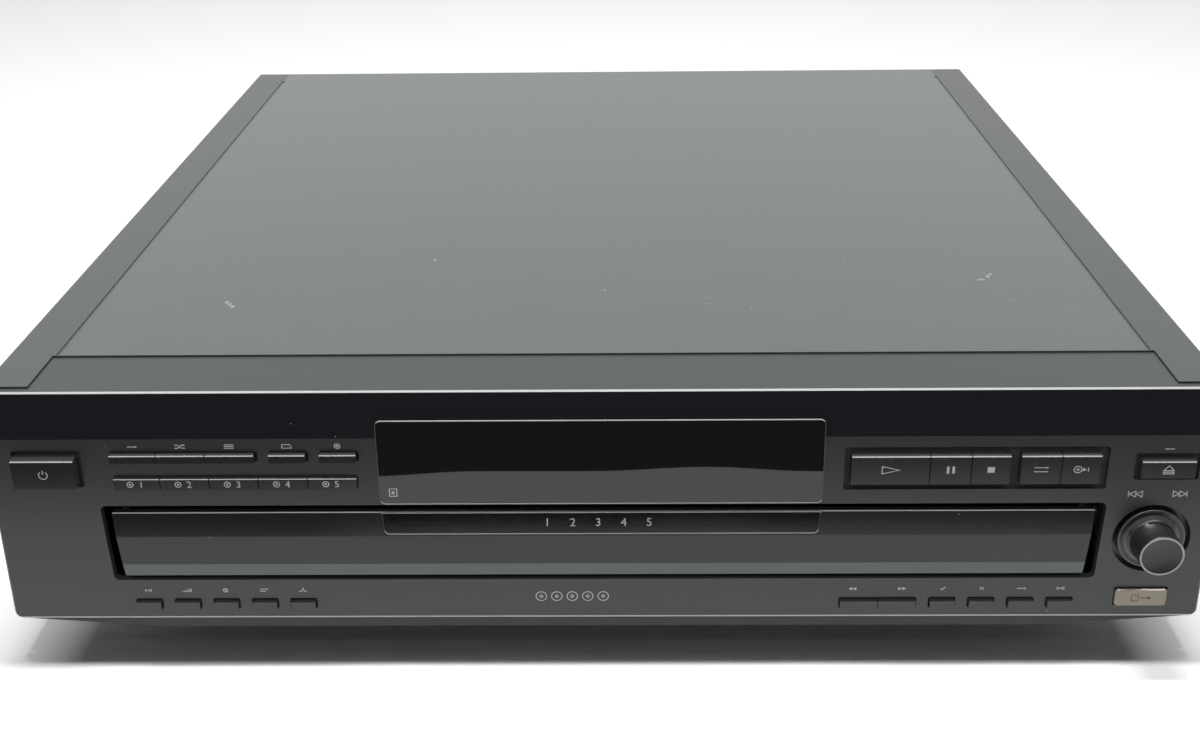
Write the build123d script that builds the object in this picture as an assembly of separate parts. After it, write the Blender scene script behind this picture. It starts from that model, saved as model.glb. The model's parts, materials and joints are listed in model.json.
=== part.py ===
from build123d import *
import os
from math import acos, cos, pi, radians, sin, tan

# A full-width player that changes five compact discs on a turning table in a sliding drawer.
# Millimetres. X to the right, Y to the back, Z up. The origin lies on the floor, midway in
# width and in depth from the dial's tip to the ends of the rear sockets.

# ---------------------------------------------------------------- driving dimensions

# cabinet
body_depth = 405.0
foot_height = 15.0
chin_drop = 3.0
panel_height = 91.4
cover_step = 0.6
dial_reach = 11.0
jack_reach = 8.0
sheet = 1.0
side_bay = 39.0

# front panel
panel_wall = 3.0
slope_start = 74.0
slope_setback = 2.0
slope_rebate = 13.0
lip_depth = 28.5
lip_thickness = 2.2
edge_softening = 0.7
panel_rib_depth = 10.0
panel_rib_wall = 2.5
panel_rib_inset = 4.0
recess_depth = 1.2
board_boss_radius = 3.0
chin_side = 3.0
chin_run = 52.0
chin_depth = 12.0
chin_setback = 0.8
chin_floor = 1.0
panel_skirt = 1.1
chin_below = 2.0
panel_corner = 3.0
recess_corner = 0.8
plate_corner = 1.3

# drawer opening and drawer front, heights above the panel face's lower edge
opening_low = 15.85
opening_high = 47.1
opening_corner = 2.0
opening_gap = 3.7
opening_draft = 1.2
door_gap = 3.9
door_draft = 1.7
door_gap_low = 2.15
door_gap_high = 2.7
door_corner = 0.4
door_turn = 5.0
door_band = 9.6
door_proud = 1.0
door_thickness = 3.0
door_undercut = 0.8
door_turn_setback = 0.3
door_lean = 0.9
inlay_height = 8.2
inlay_edge = 0.3
inlay_draft = 0.9
inlay_corner = 1.6
inlay_proud = 0.3

# display
window_half_width = 77.75
window_rib = 0.6
window_height = 33.3
window_corner = 2.0
window_proud = 0.3
window_flange = 2.0
window_flange_low = 0.4
window_flange_wall = 1.5
window_fit = 0.1
tube_width = 124.0
tube_height = 22.0
tube_depth = 5.0
tube_gap = 1.2
tube_foot_height = 8.0
tube_foot_inset = 4.0

# push buttons: travel, gaps and hidden parts
key_travel = 0.8
key_gap = 0.25
key_split = 0.3
key_flange_gap = 0.3
key_flange_wall = 1.2
key_flange_edge = 1.4
key_stem = 2.2
switch_side = 6.0
switch_depth = 3.8
switch_tip = 1.0
switch_tip_radius = 1.6
switch_clearance = 0.3

# boards
board_wall = 1.6
board_setback = 13.0
board_edge = 7.0
board_top_gap = 2.4
board_step_gap = 1.9
board_leg_gap = 4.0
board_strip_low = 1.0
board_strip_height = 11.5
board_strip_side = 39.0

# jog dial
dial_edge = 20.5
dial_height = 32.3
dial_well_gap = 1.8
dial_well_floor = 2.3
dial_well_wall = 2.0
dial_skirt_radius = 12.0
dial_skirt_wall = 2.2
dial_skirt_back = 1.7
dial_radius = 7.9
dial_round = 0.6
dial_push = 1.0
dial_push_gap = 0.5
shaft_radius = 3.0
shaft_fit = 0.05
shaft_well_gap = 1.0
shaft_engagement = 8.5
shaft_end_gap = 0.3
encoder_side = 12.0
encoder_depth = 6.5
encoder_fit = 0.08
shaft_tail = 5.0

# chassis, rear and feet
chassis_flange = 14.0
chassis_corner = 4.0
foot_radius = 17.0
foot_taper = 1.5
foot_inset_x = 50.0
foot_inset_y = 48.0
cover_lip = 10.0
cover_front_gap = 0.2
cover_bottom_gap = 1.5
cover_margin = 17.0
cover_bend = 1.6
rear_fit = 0.2
groove_inset = 1.8
groove_width = 1.8
groove_depth = 0.4
groove_lead = 0.5
groove_end = 16.0
screw_shank = 1.9
screw_fit = 0.2
screw_head = 4.0
screw_head_height = 1.8
screw_length = 7.0
side_screw_inset = 60.0
side_screw_rise = 8.0
rear_screw_pitch = 180.0
rear_screw_drop = 5.0

# rear sockets, gland, boards and transformer
transformer_width = 50.0
transformer_depth = 44.0
transformer_height = 46.0
transformer_core = 18.0
transformer_coil_width = 30.0
transformer_coil_edge = 9.0
transformer_gap = 8.0
jack_radius = 4.15
jack_bore = 1.6
jack_bore_depth = 7.0
jack_pitch = 14.0
jack_gap = 18.0
jack_rise = 25.0
jack_step = 1.2
jack_hole_fit = 0.1
jack_housing_wall = 12.0
jack_housing_edge = 7.0
gland_edge = 64.0
gland_rise = 21.0
gland_body_radius = 5.5
gland_flange_radius = 7.5
gland_flange_wall = 2.0
gland_bore = 3.2
gland_inner = 6.0
main_board_wall = 1.6
main_board_lift = 7.0
main_board_depth = 46.0
main_board_gap = 6.0
main_board_edge = 9.0
main_board_post = 3.0
main_board_post_inset = 8.0
capacitor_count = 4
capacitor_radius = 6.0
capacitor_pitch = 17.0
capacitor_height = 18.0
capacitor_start = 210.0
# larger parts on the main board: start from its left end, width, depth, height
main_board_parts = [
    (48.0, 24.0, 24.0, 3.0), (112.0, 16.0, 16.0, 2.5),
    (165.0, 30.0, 12.0, 3.5), (279.0, 12.0, 28.0, 26.0),
]

# moulded deck and drawer rails
deck_floor = 2.0
deck_wall = 2.5
deck_gap = 1.0
deck_headroom = 6.5
deck_front_gap = 1.2
deck_back_gap = 3.0
rail_ledge = 3.2
rail_wall = 1.2
rail_gap = 0.3

# drawer tray
tray_clearance = 2.15
tray_height = 13.5
tray_side = 1.8
tray_end = 3.3
tray_floor = 1.6
tray_wall = 2.0
tray_top_wall = 1.5
tongue_rise = 10.0
tongue_wall = 1.8
tongue_reach = 3.0
tongue_start = 14.0
table_gap = 1.2

# disc table
disc_radius = 60.0
disc_thickness = 1.2
disc_count = 5
pocket_gap = 0.6
pocket_web = 0.9
pocket_depth = 2.5
inner_pocket_radius = 41.0
inner_pocket_depth = 1.0
spindle_gap = 2.0
lens_slot_gap = 4.5
lens_end_gap = 0.5
table_rim = 1.9
table_bay = 4.4
table_thickness = 6.0
table_tooth_height = 3.3
table_cap_radius = 20.0
table_cap_height = 1.2
table_module = 2.0
table_tooth_inset = 2.5
hub_post_radius = 8.0
hub_post_rise = 4.4
hub_fit = 0.08
hub_sleeve_radius = 12.0
hub_lift = 0.3
pinion_teeth = 14
pinion_lift = 0.3
pinion_drop = 0.4
pinion_margin = 0.7
pinion_direction = 225.0
motor_plate_width = 16.0
motor_plate_end = 14.0
motor_can_radius = 10.0
motor_can_offset = 32.0
motor_shaft_radius = 1.5
motor_shaft_fit = 0.05

# loading drive at the drawer's right side
rack_rise = 2.0
rack_height = 5.6
rack_module = 1.5
rack_base = 0.7
rack_start = 2.0
rack_end = 4.0
loading_teeth = 16
loading_setback = 35.2
loading_gear_wall = 5.0
loading_motor_side = 22.0
loading_motor_clearance = 0.8
gear_slot_gap = 1.0

# gear teeth
pressure_angle = 20.0
addendum = 0.8
dedendum = 1.1
backlash = 0.25

# optical unit, drawn raised and then lowered by the lift
play_clearance = 1.0
lift_clearance = 0.5
spin_plate_radius = 15.0
spin_plate_wall = 2.6
spin_cone_radius = 7.3
spin_cone_height = 3.0
spin_cone_taper = 1.6
spin_motor_radius = 12.0
spin_motor_gap = 0.6
spin_shaft_radius = 1.0
spin_shaft_end = 0.4
spin_shaft_fit = 0.04
floor_gap = 0.5
unit_headroom = 2.0
unit_end = 14.0
unit_side = 7.0
unit_plate_wall = 2.0
unit_skirt_wall = 2.0
unit_window_gap = 1.0
unit_window_end = 4.0
follower_radius = 1.5
follower_reach = 5.0
follower_drop = 4.0
follower_inset = 12.0
follower_inset_far = 20.0
guide_sleeve_radius = 4.5
guide_sleeve_inset = 1.0
guide_post_radius = 2.2
guide_post_fit = 0.3
guide_post_gap = 0.6
sled_width = 20.0
sled_half_core = 16.0
sled_bearing = 5.0
sled_headroom = 1.2
sled_rest = 24.5
sled_travel = 32.5
lens_radius = 2.5
lens_distance = 2.0
rod_radius = 1.5
rod_fit = 0.05
rod_drop = 3.5
rod_seat = 2.0
rod_end_gap = 1.0
rod_boss = 3.0
feed_motor_radius = 4.0
feed_motor_length = 22.0
feed_motor_x = -4.0
feed_motor_side = 7.0
feed_motor_fit = 0.2

# lift slider with two ramps each side
slider_lift = 0.3
slider_wall = 1.2
slider_throw = 30.0
slider_arm = 4.0
slider_tie = 10.0
slider_margin = 2.0
slider_tail = 3.0
arm_gap = 0.8
ramp_gap = 0.3
ramp_tail = 1.5

# clamp above the disc
bridge_half_depth = 22.0
bridge_wall = 1.4
bridge_lip = 6.0
bridge_fit = 0.5
puck_inset = 0.2
puck_gap = 0.3
puck_recess_gap = 0.9
puck_recess_depth = 3.0
puck_flange = 2.7
puck_flange_wall = 2.0

# ---------------------------------------------------------------- places worked out

# heights
face_base = foot_height + chin_drop
panel_low = face_base - panel_skirt
chassis_top = foot_height + sheet
panel_top = face_base + panel_height
cabinet_top = panel_top + cover_step
tray_low = face_base + opening_low + tray_clearance
tray_high = tray_low + tray_height
floor_top = tray_low + tray_floor
tongue_low = tray_low + tongue_rise
rack_low = tray_low + rack_rise
table_low = floor_top + table_bay
table_top = table_low + table_thickness
rim_low = table_low + table_tooth_height
hub_post_top = table_low + hub_post_rise
plate_top = table_low - pinion_drop
pinion_wall = table_tooth_height - pinion_margin
deck_wall_top = tray_high + deck_headroom
disc_play_height = table_top + play_clearance
puck_low = disc_play_height + disc_thickness + puck_gap
unit_lift = disc_play_height + spin_cone_height - tray_low + lift_clearance
raised_floor = chassis_top + unit_lift + floor_gap
unit_plate_top = table_low - unit_headroom
unit_plate_low = unit_plate_top - unit_plate_wall
follower_height = unit_plate_top - follower_drop
rod_height = unit_plate_top - rod_drop
lens_top = disc_play_height - lens_distance
door_low = face_base + opening_low + door_gap_low
door_high = face_base + opening_high - door_gap_high
window_low = face_base + opening_high + window_rib
window_high = window_low + window_height
dial_z = face_base + dial_height

# widths
pocket_radius = disc_radius + pocket_gap
disc_pitch_radius = round(pocket_radius / sin(pi / disc_count) + pocket_web, 1)
table_radius = disc_pitch_radius + pocket_radius + table_rim
table_teeth = round(2 * (table_radius - table_tooth_inset) / table_module)
spindle_hole = spin_plate_radius + spindle_gap
tray_half_width = table_radius + table_gap + tray_side
tongue_edge = tray_half_width + tongue_reach
deck_half_width = tongue_edge + deck_gap
deck_outer = deck_half_width + deck_wall
half_width = deck_outer + side_bay
cover_inner = half_width - sheet
opening_half_bottom = tongue_edge + opening_gap
opening_half_top = opening_half_bottom + opening_draft
door_half_top = opening_half_top - door_gap
door_half_bottom = door_half_top - door_draft
lip_half_width = half_width - cover_margin
groove_x = lip_half_width - groove_inset
dial_x = half_width - dial_edge
dial_well_radius = dial_skirt_radius + dial_well_gap
dial_well_depth = dial_skirt_back + dial_push + dial_push_gap
screw_hole = screw_shank + screw_fit
transformer_x = transformer_gap + transformer_width / 2 - cover_inner
jack_x = transformer_x + transformer_width / 2 + jack_gap
gland_x = cover_inner - gland_edge
main_board_left = jack_x + jack_gap
main_board_right = cover_inner - main_board_edge

# depths
face_y = dial_reach - (dial_reach + body_depth + jack_reach) / 2
back_y = face_y + body_depth
tip_y = back_y + jack_reach
panel_back = face_y + panel_wall
top_front = face_y + slope_setback
cover_front = top_front + panel_wall + cover_front_gap
lip_back = face_y + lip_depth
board_front = face_y + board_setback
board_back = board_front + board_wall
rear_outer = back_y - sheet
rear_inner = rear_outer - sheet
tray_front = face_y + door_thickness - door_proud
table_y = tray_front + table_radius + table_gap + tray_end
tray_back = table_y + table_radius + table_gap + tray_end
play_y = table_y + disc_pitch_radius
deck_front = board_back + deck_front_gap
deck_back = tray_back + deck_back_gap

# drives
loading_radius = rack_module * loading_teeth / 2
rack_line = tray_half_width + rack_base + dedendum * rack_module
loading_place = (rack_line + loading_radius, deck_front + loading_setback)
pinion_distance = table_module * (table_teeth + pinion_teeth) / 2
pinion_angle = radians(pinion_direction)
pinion_x = pinion_distance * cos(pinion_angle)
pinion_y = table_y + pinion_distance * sin(pinion_angle)

# optical unit
unit_window_left = sled_rest - sled_width / 2 - unit_window_gap
unit_window_right = sled_rest + sled_width / 2 + sled_travel + unit_window_end
rod_left = unit_window_left - rod_seat
rod_right = unit_window_right + rod_seat
unit_left = -spin_motor_radius - unit_end
unit_right = rod_right + unit_skirt_wall + rod_end_gap
rod_spread = sled_half_core + unit_window_gap + rod_boss
unit_half_depth = rod_spread + sled_bearing + unit_side
follower_places = (unit_left + follower_inset, unit_right - follower_inset_far)
puck_radius = spin_plate_radius - puck_inset
bridge_hole = puck_radius + bridge_fit


# ---------------------------------------------------------------- the panel's buttons

# names, left edge, widths, low edge, height, proud, edge bevel, and the margins of the
# shallow recess round them: left, right, low, high
key_runs = [
    (["continue_button", "shuffle_button", "program_button"],
     44.1 - half_width, [16.0, 16.9, 16.9], 65.2, 3.3, 1.6, 0.6, (0.3, 1.1, 0.3, 0.4)),
    (["repeat_button"], 99.75 - half_width, [12.7], 65.2, 3.3, 1.6, 0.6, (0.3, 0.9, 0.3, 0.4)),
    (["disc_check_button"], 117.4 - half_width, [12.7], 65.2, 3.3, 1.6, 0.6, (0.3, 0.9, 0.3, 0.4)),
    ([f"disc_{n + 1}_button" for n in range(disc_count)],
     44.3 - half_width, [16.2] + [17.0] * (disc_count - 1), 54.25, 4.6, 1.3, 0.4, None),
    (["play_button", "pause_button", "stop_button"],
     half_width - 127.9, [27.0, 14.0, 13.2], 55.6, 11.6, 1.4, 0.8, (2.3, 2.4, 2.8, 2.5)),
    (["exchange_button", "disc_skip_button"],
     half_width - 69.3, [13.7, 13.4], 55.6, 11.6, 1.4, 0.8, (2.2, 3.0, 2.8, 2.5)),
    (["open_close_button"], half_width - 27.8, [18.5], 57.8, 7.0, 1.6, 0.7, (2.0, 2.0, 1.4, 2.1)),
    (["search_back_button", "search_forward_button"],
     half_width - 129.1, [13.4, 13.4], 3.45, 3.2, 1.3, 0.3, (0.5, 0.5, 0.3, 1.0)),
    (["changer_control_button"], half_width - 30.7, [18.6], 4.3, 7.2, 1.2, 0.4, None),
    (["power_button"], 9.8 - half_width, [22.0], 56.0, 11.4, 3.0, 0.8, (0.4, 1.8, 1.1, 2.0)),
]
low_key_pitch = 14.06
for n, name in enumerate(["music_scan", "fader", "time", "edit", "peak_search"]):
    key_runs.append(([f"{name}_button"], 45.95 - half_width + low_key_pitch * n, [8.8],
                     3.65, 3.2, 1.3, 0.3, (0.5, 0.5, 0.3, 1.0)))
for n, name in enumerate(["check", "clear", "no_delay", "crossfade"]):
    key_runs.append(([f"{name}_button"], half_width - 96.8 + low_key_pitch * n, [8.8],
                     3.45, 3.2, 1.3, 0.3, (0.5, 0.5, 0.3, 1.0)))

# bosses that carry the board: distance from the middle, height
board_bosses = [
    (37.0 - half_width, 80.0), (-window_half_width - 10.25, 85.0),
    (window_half_width + 10.25, 85.0), (half_width - 37.0, 80.0),
    (-60.0, 7.0), (0.0, 7.0), (60.0, 7.0),
]


# ---------------------------------------------------------------- helpers

def block(x0, x1, y0, y1, z0, z1):
    """A box between two opposite corners."""
    middle = Pos((x0 + x1) / 2, (y0 + y1) / 2, (z0 + z1) / 2)
    return middle * Box(x1 - x0, y1 - y0, z1 - z0)


def upright(x, y, z0, z1, radius):
    """A cylinder standing along Z."""
    return Pos(x, y, (z0 + z1) / 2) * Cylinder(radius, z1 - z0)


def along_y(x, z, y0, y1, radius):
    """A cylinder lying along Y."""
    return Pos(x, (y0 + y1) / 2, z) * Rot(90, 0, 0) * Cylinder(radius, y1 - y0)


def along_x(y, z, x0, x1, radius):
    """A cylinder lying along X."""
    return Pos((x0 + x1) / 2, y, z) * Rot(0, 90, 0) * Cylinder(radius, x1 - x0)


def slab_xz(outline, y0, y1):
    """An outline drawn in X and Z, given its thickness between two depths."""
    return extrude(Plane.XZ.offset(-y1) * outline, y1 - y0)


def slab_yz(outline, x0, x1):
    """An outline drawn in Y and Z, given its width between two sides."""
    return extrude(Plane.YZ.offset(x0) * outline, x1 - x0)


def rounded(points, radius):
    """A face whose outline has every corner rounded alike."""
    return make_face(FilletPolyline(*points, radius=radius, close=True))


def trapezoid(half_low, half_high, z0, z1, radius):
    """A symmetric outline in X and Z, wider at one edge, with rounded corners."""
    points = [(-half_low, z0), (half_low, z0), (half_high, z1), (-half_high, z1)]
    return rounded(points, radius)


def soften(solid, axis, amount, last=False):
    """Bevels the edges that lie furthest along an axis."""
    edges = solid.edges().group_by(axis)
    return chamfer(edges[-1 if last else 0], amount)


def gear_outline(teeth, module, flank_steps):
    """A spur gear's outline with involute flanks, a tooth centred on the X axis."""
    pitch_radius = module * teeth / 2
    alpha = radians(pressure_angle)
    base_radius = pitch_radius * cos(alpha)
    tip_radius = pitch_radius + addendum * module
    root_radius = pitch_radius - dedendum * module
    half_tooth = pi / (2 * teeth) - backlash / (2 * pitch_radius)

    def half_angle(radius):
        roll = acos(min(1.0, base_radius / radius))
        return half_tooth + (tan(alpha) - alpha) - (tan(roll) - roll)

    low_radius = max(base_radius, root_radius)
    step = (tip_radius - low_radius) / flank_steps
    flank = [low_radius + step * n for n in range(flank_steps + 1)]
    rise = [(radius, -half_angle(radius)) for radius in flank]
    if root_radius < base_radius:
        rise.insert(0, (root_radius, -half_angle(base_radius)))
    tooth = rise + [(radius, -angle) for radius, angle in reversed(rise)]
    points = []
    for n in range(teeth):
        middle = 2 * pi * n / teeth
        for radius, angle in tooth:
            points.append((radius * cos(middle + angle), radius * sin(middle + angle)))
    return make_face(Polyline(*points, close=True))


def keys():
    """Every push button as name, left, right, low, high, proud and bevel."""
    found = []
    for names, left, widths, low, height, proud, bevel, margins in key_runs:
        x = left
        for name, width in zip(names, widths):
            z = face_base + low
            found.append((name, x, x + width, z, z + height, proud, bevel))
            x += width + key_split
    return found


def key_cuts():
    """One slot through the panel for each run of buttons, and the recesses round some."""
    cuts = []
    for names, left, widths, low, height, proud, bevel, margins in key_runs:
        right = left + sum(widths) + key_split * (len(widths) - 1)
        z0 = face_base + low
        z1 = z0 + height
        cuts.append(block(left - key_gap, right + key_gap, face_y - 1, panel_back + 1,
                          z0 - key_gap, z1 + key_gap))
        if margins:
            x0 = left - margins[0]
            x1 = right + margins[1]
            low_edge = z0 - margins[2]
            high_edge = z1 + margins[3]
            outline = [(x0, low_edge), (x1, low_edge), (x1, high_edge), (x0, high_edge)]
            cuts.append(slab_xz(rounded(outline, recess_corner), face_y - 1,
                                face_y + recess_depth))
    return cuts


# ---------------------------------------------------------------- casing

def front_panel():
    """The moulded front: sloped top band, rear lip, drawer opening, slots and chin."""
    slope_z = face_base + slope_start
    top_back = top_front + panel_wall
    step_z = slope_z + slope_rebate
    section = Polyline(
        (face_y, panel_low), (face_y, slope_z), (top_front, panel_top),
        (top_back, panel_top), (top_back, step_z), (panel_back, step_z),
        (panel_back, panel_low), close=True,
    )
    shell = slab_yz(make_face(section), -half_width, half_width)
    shell = fillet(shell.edges().filter_by(Axis.Y).group_by(Axis.Z)[0], panel_corner)
    front_edges = [e for e in shell.edges() if e.center().Y < top_front + 0.01
                   and (e.center().Z > panel_top - 0.1 or e.center().Z < panel_low + panel_corner)]
    shell = chamfer(front_edges, edge_softening)
    shell += block(-lip_half_width, lip_half_width, top_back - 0.5, lip_back - cover_front_gap,
                   panel_top - lip_thickness, panel_top)
    chin_half = half_width - chin_side
    chin_flat = chin_half - chin_run
    chin_low = foot_height - chin_below
    chin = [(-chin_half, panel_low + 0.01), (-chin_flat, chin_low),
            (chin_flat, chin_low), (chin_half, panel_low + 0.01)]
    shell += slab_xz(make_face(Polyline(*chin, close=True)),
                     face_y + chin_setback, face_y + chin_setback + chin_depth)
    shell += block(-chin_half, chin_half, panel_back - 0.5,
                   face_y + chin_setback + chin_depth, panel_low, panel_low + chin_floor)
    rib_outer = cover_inner - 1.0
    for side in (-1, 1):
        x0, x1 = sorted((side * rib_outer, side * (rib_outer - panel_rib_wall)))
        shell += block(x0, x1, panel_back - 0.5, panel_back + panel_rib_depth,
                       face_base + panel_rib_inset, panel_top - panel_rib_inset)
    for x, height in board_bosses:
        shell += along_y(x, face_base + height, panel_back - 0.5, board_front, board_boss_radius)
    well_back = face_y + dial_well_depth + dial_well_floor
    shell += along_y(dial_x, dial_z, panel_back - 0.5, well_back, dial_well_radius + dial_well_wall)
    opening = trapezoid(opening_half_bottom, opening_half_top, face_base + opening_low,
                        face_base + opening_high, opening_corner)
    window_hole = trapezoid(window_half_width, window_half_width, window_low, window_high,
                            window_corner)
    cuts = [slab_xz(opening, face_y - 1, panel_back + 1)]
    cuts.append(slab_xz(window_hole, face_y - 1, panel_back + 1))
    cuts += key_cuts()
    cuts.append(along_y(dial_x, dial_z, face_y - 1, face_y + dial_well_depth, dial_well_radius))
    cuts.append(along_y(dial_x, dial_z, face_y - 1, well_back + 1, shaft_radius + shaft_well_gap))
    return shell - cuts


def display_window():
    """The glossy window with a flange that seats on the panel's back."""
    width = window_half_width - window_fit
    pane = slab_xz(trapezoid(width, width, window_low + window_fit,
                             window_high - window_fit, window_corner),
                   face_y - window_proud, panel_back)
    flange_half = window_half_width + window_flange
    flange = block(-flange_half, flange_half, panel_back, panel_back + window_flange_wall,
                   window_low - window_flange_low, window_high + window_flange)
    return pane + flange


def display_tube():
    """The flat display tube that stands on the board behind the window."""
    y1 = board_front
    middle = (window_low + window_high) / 2
    glass_front = panel_back + window_flange_wall + tube_gap
    glass = block(-tube_width / 2, tube_width / 2, glass_front, glass_front + tube_depth,
                  middle - tube_height / 2, middle + tube_height / 2)
    foot_half = tube_width / 2 - tube_foot_inset
    foot = block(-foot_half, foot_half, glass_front + tube_depth, y1,
                 middle - tube_foot_height / 2, middle + tube_foot_height / 2)
    return glass + foot


def top_cover():
    """The folded sheet cover, notched at the front for the panel's lip, with two grooves."""
    bottom = foot_height + cover_bottom_gap
    outer = Polyline((-half_width, bottom), (-half_width, cabinet_top),
                     (half_width, cabinet_top), (half_width, bottom), close=True)
    shell = slab_xz(make_face(outer), cover_front, back_y)
    top_edges = [e for e in shell.edges().filter_by(Axis.Y) if e.center().Z > cabinet_top - 1]
    shell = fillet(top_edges, cover_bend)
    hollow = block(-cover_inner, cover_inner, cover_front - 1, back_y - sheet,
                   bottom - 1, cabinet_top - sheet)
    notch = block(-lip_half_width - cover_front_gap, lip_half_width + cover_front_gap,
                  cover_front - 1, lip_back, cabinet_top - sheet - 1, cabinet_top + 1)
    rear_gap = block(-cover_inner, cover_inner, back_y - 2 * sheet, back_y + 1,
                     bottom - 1, cabinet_top - cover_lip)
    cuts = [hollow, notch, rear_gap]
    for side in (-1, 1):
        cuts.append(block(side * groove_x - groove_width / 2, side * groove_x + groove_width / 2,
                          lip_back + groove_lead, back_y - groove_end,
                          cabinet_top - groove_depth, cabinet_top + 1))
        for y in side_screw_places():
            cuts.append(along_x(y, chassis_top + side_screw_rise, side * half_width - 2 * sheet,
                                side * half_width + 2 * sheet, screw_hole))
    for x, z in rear_screw_places():
        cuts.append(along_y(x, z, back_y - 2 * sheet, back_y + 1, screw_hole))
    return shell - cuts


def side_screw_places():
    """How far back the cover's side screws lie."""
    return (face_y + side_screw_inset, back_y - side_screw_inset)


def rear_screw_places():
    """Where the three screws through the cover's rear lip lie in X and Z."""
    height = cabinet_top - rear_screw_drop
    return [(n * rear_screw_pitch, height) for n in (-1, 0, 1)]


def cover_screws():
    """Four side screws and three rear screws, all alike."""
    group = []
    for side in (-1, 1):
        for y in side_screw_places():
            seat = side * half_width
            ends = sorted((seat, seat + side * screw_head_height))
            shank = sorted((seat, seat - side * screw_length))
            z = chassis_top + side_screw_rise
            group.append(along_x(y, z, ends[0], ends[1], screw_head)
                         + along_x(y, z, shank[0], shank[1], screw_shank))
    for x, z in rear_screw_places():
        group.append(along_y(x, z, back_y, back_y + screw_head_height, screw_head)
                     + along_y(x, z, back_y - screw_length, back_y, screw_shank))
    return Compound(children=group)


def base_chassis():
    """The folded floor plate with low flanges, screw tabs and two guide posts for the lift."""
    front = face_y + chin_setback + chin_depth
    floor = block(-cover_inner, cover_inner, front, rear_inner, foot_height, chassis_top)
    flange_top = chassis_top + chassis_flange
    for side in (-1, 1):
        x0, x1 = sorted((side * cover_inner, side * (cover_inner - sheet)))
        floor += block(x0, x1, front + chassis_corner, rear_inner, chassis_top, flange_top)
    for x, y in guide_places():
        floor += upright(x, y, chassis_top, tray_low - guide_post_gap, guide_post_radius)
    cuts = []
    for side in (-1, 1):
        for y in side_screw_places():
            cuts.append(along_x(y, chassis_top + side_screw_rise, side * cover_inner - 2 * sheet,
                                side * cover_inner + 2 * sheet, screw_hole))
    for x in (main_board_left + main_board_post_inset, (main_board_left + main_board_right) / 2,
              main_board_right - main_board_post_inset):
        y = rear_inner - main_board_gap - main_board_depth / 2
        floor += upright(x, y, chassis_top, chassis_top + main_board_lift, main_board_post)
    return floor - cuts


def rear_panel():
    """The flat rear plate with its socket and gland holes."""
    plate = block(-cover_inner + rear_fit, cover_inner - rear_fit, rear_inner, rear_outer,
                  foot_height, cabinet_top - sheet - rear_fit)
    cuts = [along_y(x, z, rear_inner - 1, rear_outer + 1, jack_radius + jack_step + jack_hole_fit)
            for x, z in jack_places()]
    cuts.append(along_y(gland_x, foot_height + gland_rise, rear_inner - 1, rear_outer + 1,
                        gland_body_radius))
    for x, z in rear_screw_places():
        cuts.append(along_y(x, z, rear_inner - 1, rear_outer + 1, screw_hole))
    return plate - cuts


def jack_places():
    """The two line sockets, one above the other."""
    low = foot_height + jack_rise
    return [(jack_x, low), (jack_x, low + jack_pitch)]


def output_jacks():
    """The socket block behind the rear plate, with two barrels that stand out of it."""
    edge = jack_housing_edge
    low = foot_height + jack_rise
    body = block(jack_x - edge, jack_x + edge, rear_inner - jack_housing_wall, rear_inner,
                 low - edge, low + jack_pitch + edge)
    for x, z in jack_places():
        body += along_y(x, z, rear_inner - 1, rear_outer, jack_radius + jack_step)
        body += along_y(x, z, rear_outer - 1, tip_y, jack_radius)
    cuts = [along_y(x, z, tip_y - jack_bore_depth, tip_y + 1, jack_bore) for x, z in jack_places()]
    return body - cuts


def cord_gland():
    """The moulded gland where the mains lead would leave the rear plate."""
    z = foot_height + gland_rise
    body = along_y(gland_x, z, rear_inner - gland_inner, rear_outer, gland_body_radius)
    outer = along_y(gland_x, z, rear_outer, rear_outer + gland_flange_wall, gland_flange_radius)
    inner = along_y(gland_x, z, rear_inner - gland_inner, rear_inner, gland_flange_radius)
    bore = along_y(gland_x, z, rear_inner - gland_inner - 1, tip_y, gland_bore)
    return (body + outer + inner) - bore


def feet():
    """Four round feet under the chassis plate."""
    group = []
    for x in (-1, 1):
        for y in (face_y + foot_inset_y, back_y - foot_inset_y):
            place = Pos(x * (half_width - foot_inset_x), y, foot_height / 2)
            group.append(place * Cone(foot_radius - foot_taper, foot_radius, foot_height))
    return Compound(children=group)


# ---------------------------------------------------------------- boards and supply

def control_board():
    """The upright board behind the panel, its switches and the dial's encoder."""
    right = half_width - board_edge
    top = panel_top - board_top_gap
    step = face_base + opening_high + board_step_gap
    leg = deck_outer + board_leg_gap
    left = board_strip_side - half_width
    strip_low = face_base + board_strip_low
    strip_top = strip_low + board_strip_height
    points = [(-right, top), (-right, step), (leg, step), (leg, strip_top), (left, strip_top),
              (left, strip_low), (right, strip_low), (right, top)]
    board = slab_xz(make_face(Polyline(*points, close=True)), board_front, board_back)
    group = [board]
    for name, x0, x1, z0, z1, proud, bevel in keys():
        x = (x0 + x1) / 2
        z = (z0 + z1) / 2
        switch_front = board_front - switch_depth
        half = switch_side / 2
        switch = block(x - half, x + half, switch_front, board_front, z - half, z + half)
        switch += along_y(x, z, switch_front - switch_tip, switch_front, switch_tip_radius)
        group.append(switch)
    half = encoder_side / 2
    encoder = block(dial_x - half, dial_x + half, board_front - encoder_depth, board_front,
                    dial_z - half, dial_z + half)
    encoder -= along_y(dial_x, dial_z, board_front - encoder_depth - 1, board_front,
                       shaft_radius + encoder_fit)
    group.append(encoder)
    return Compound(children=group)


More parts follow.
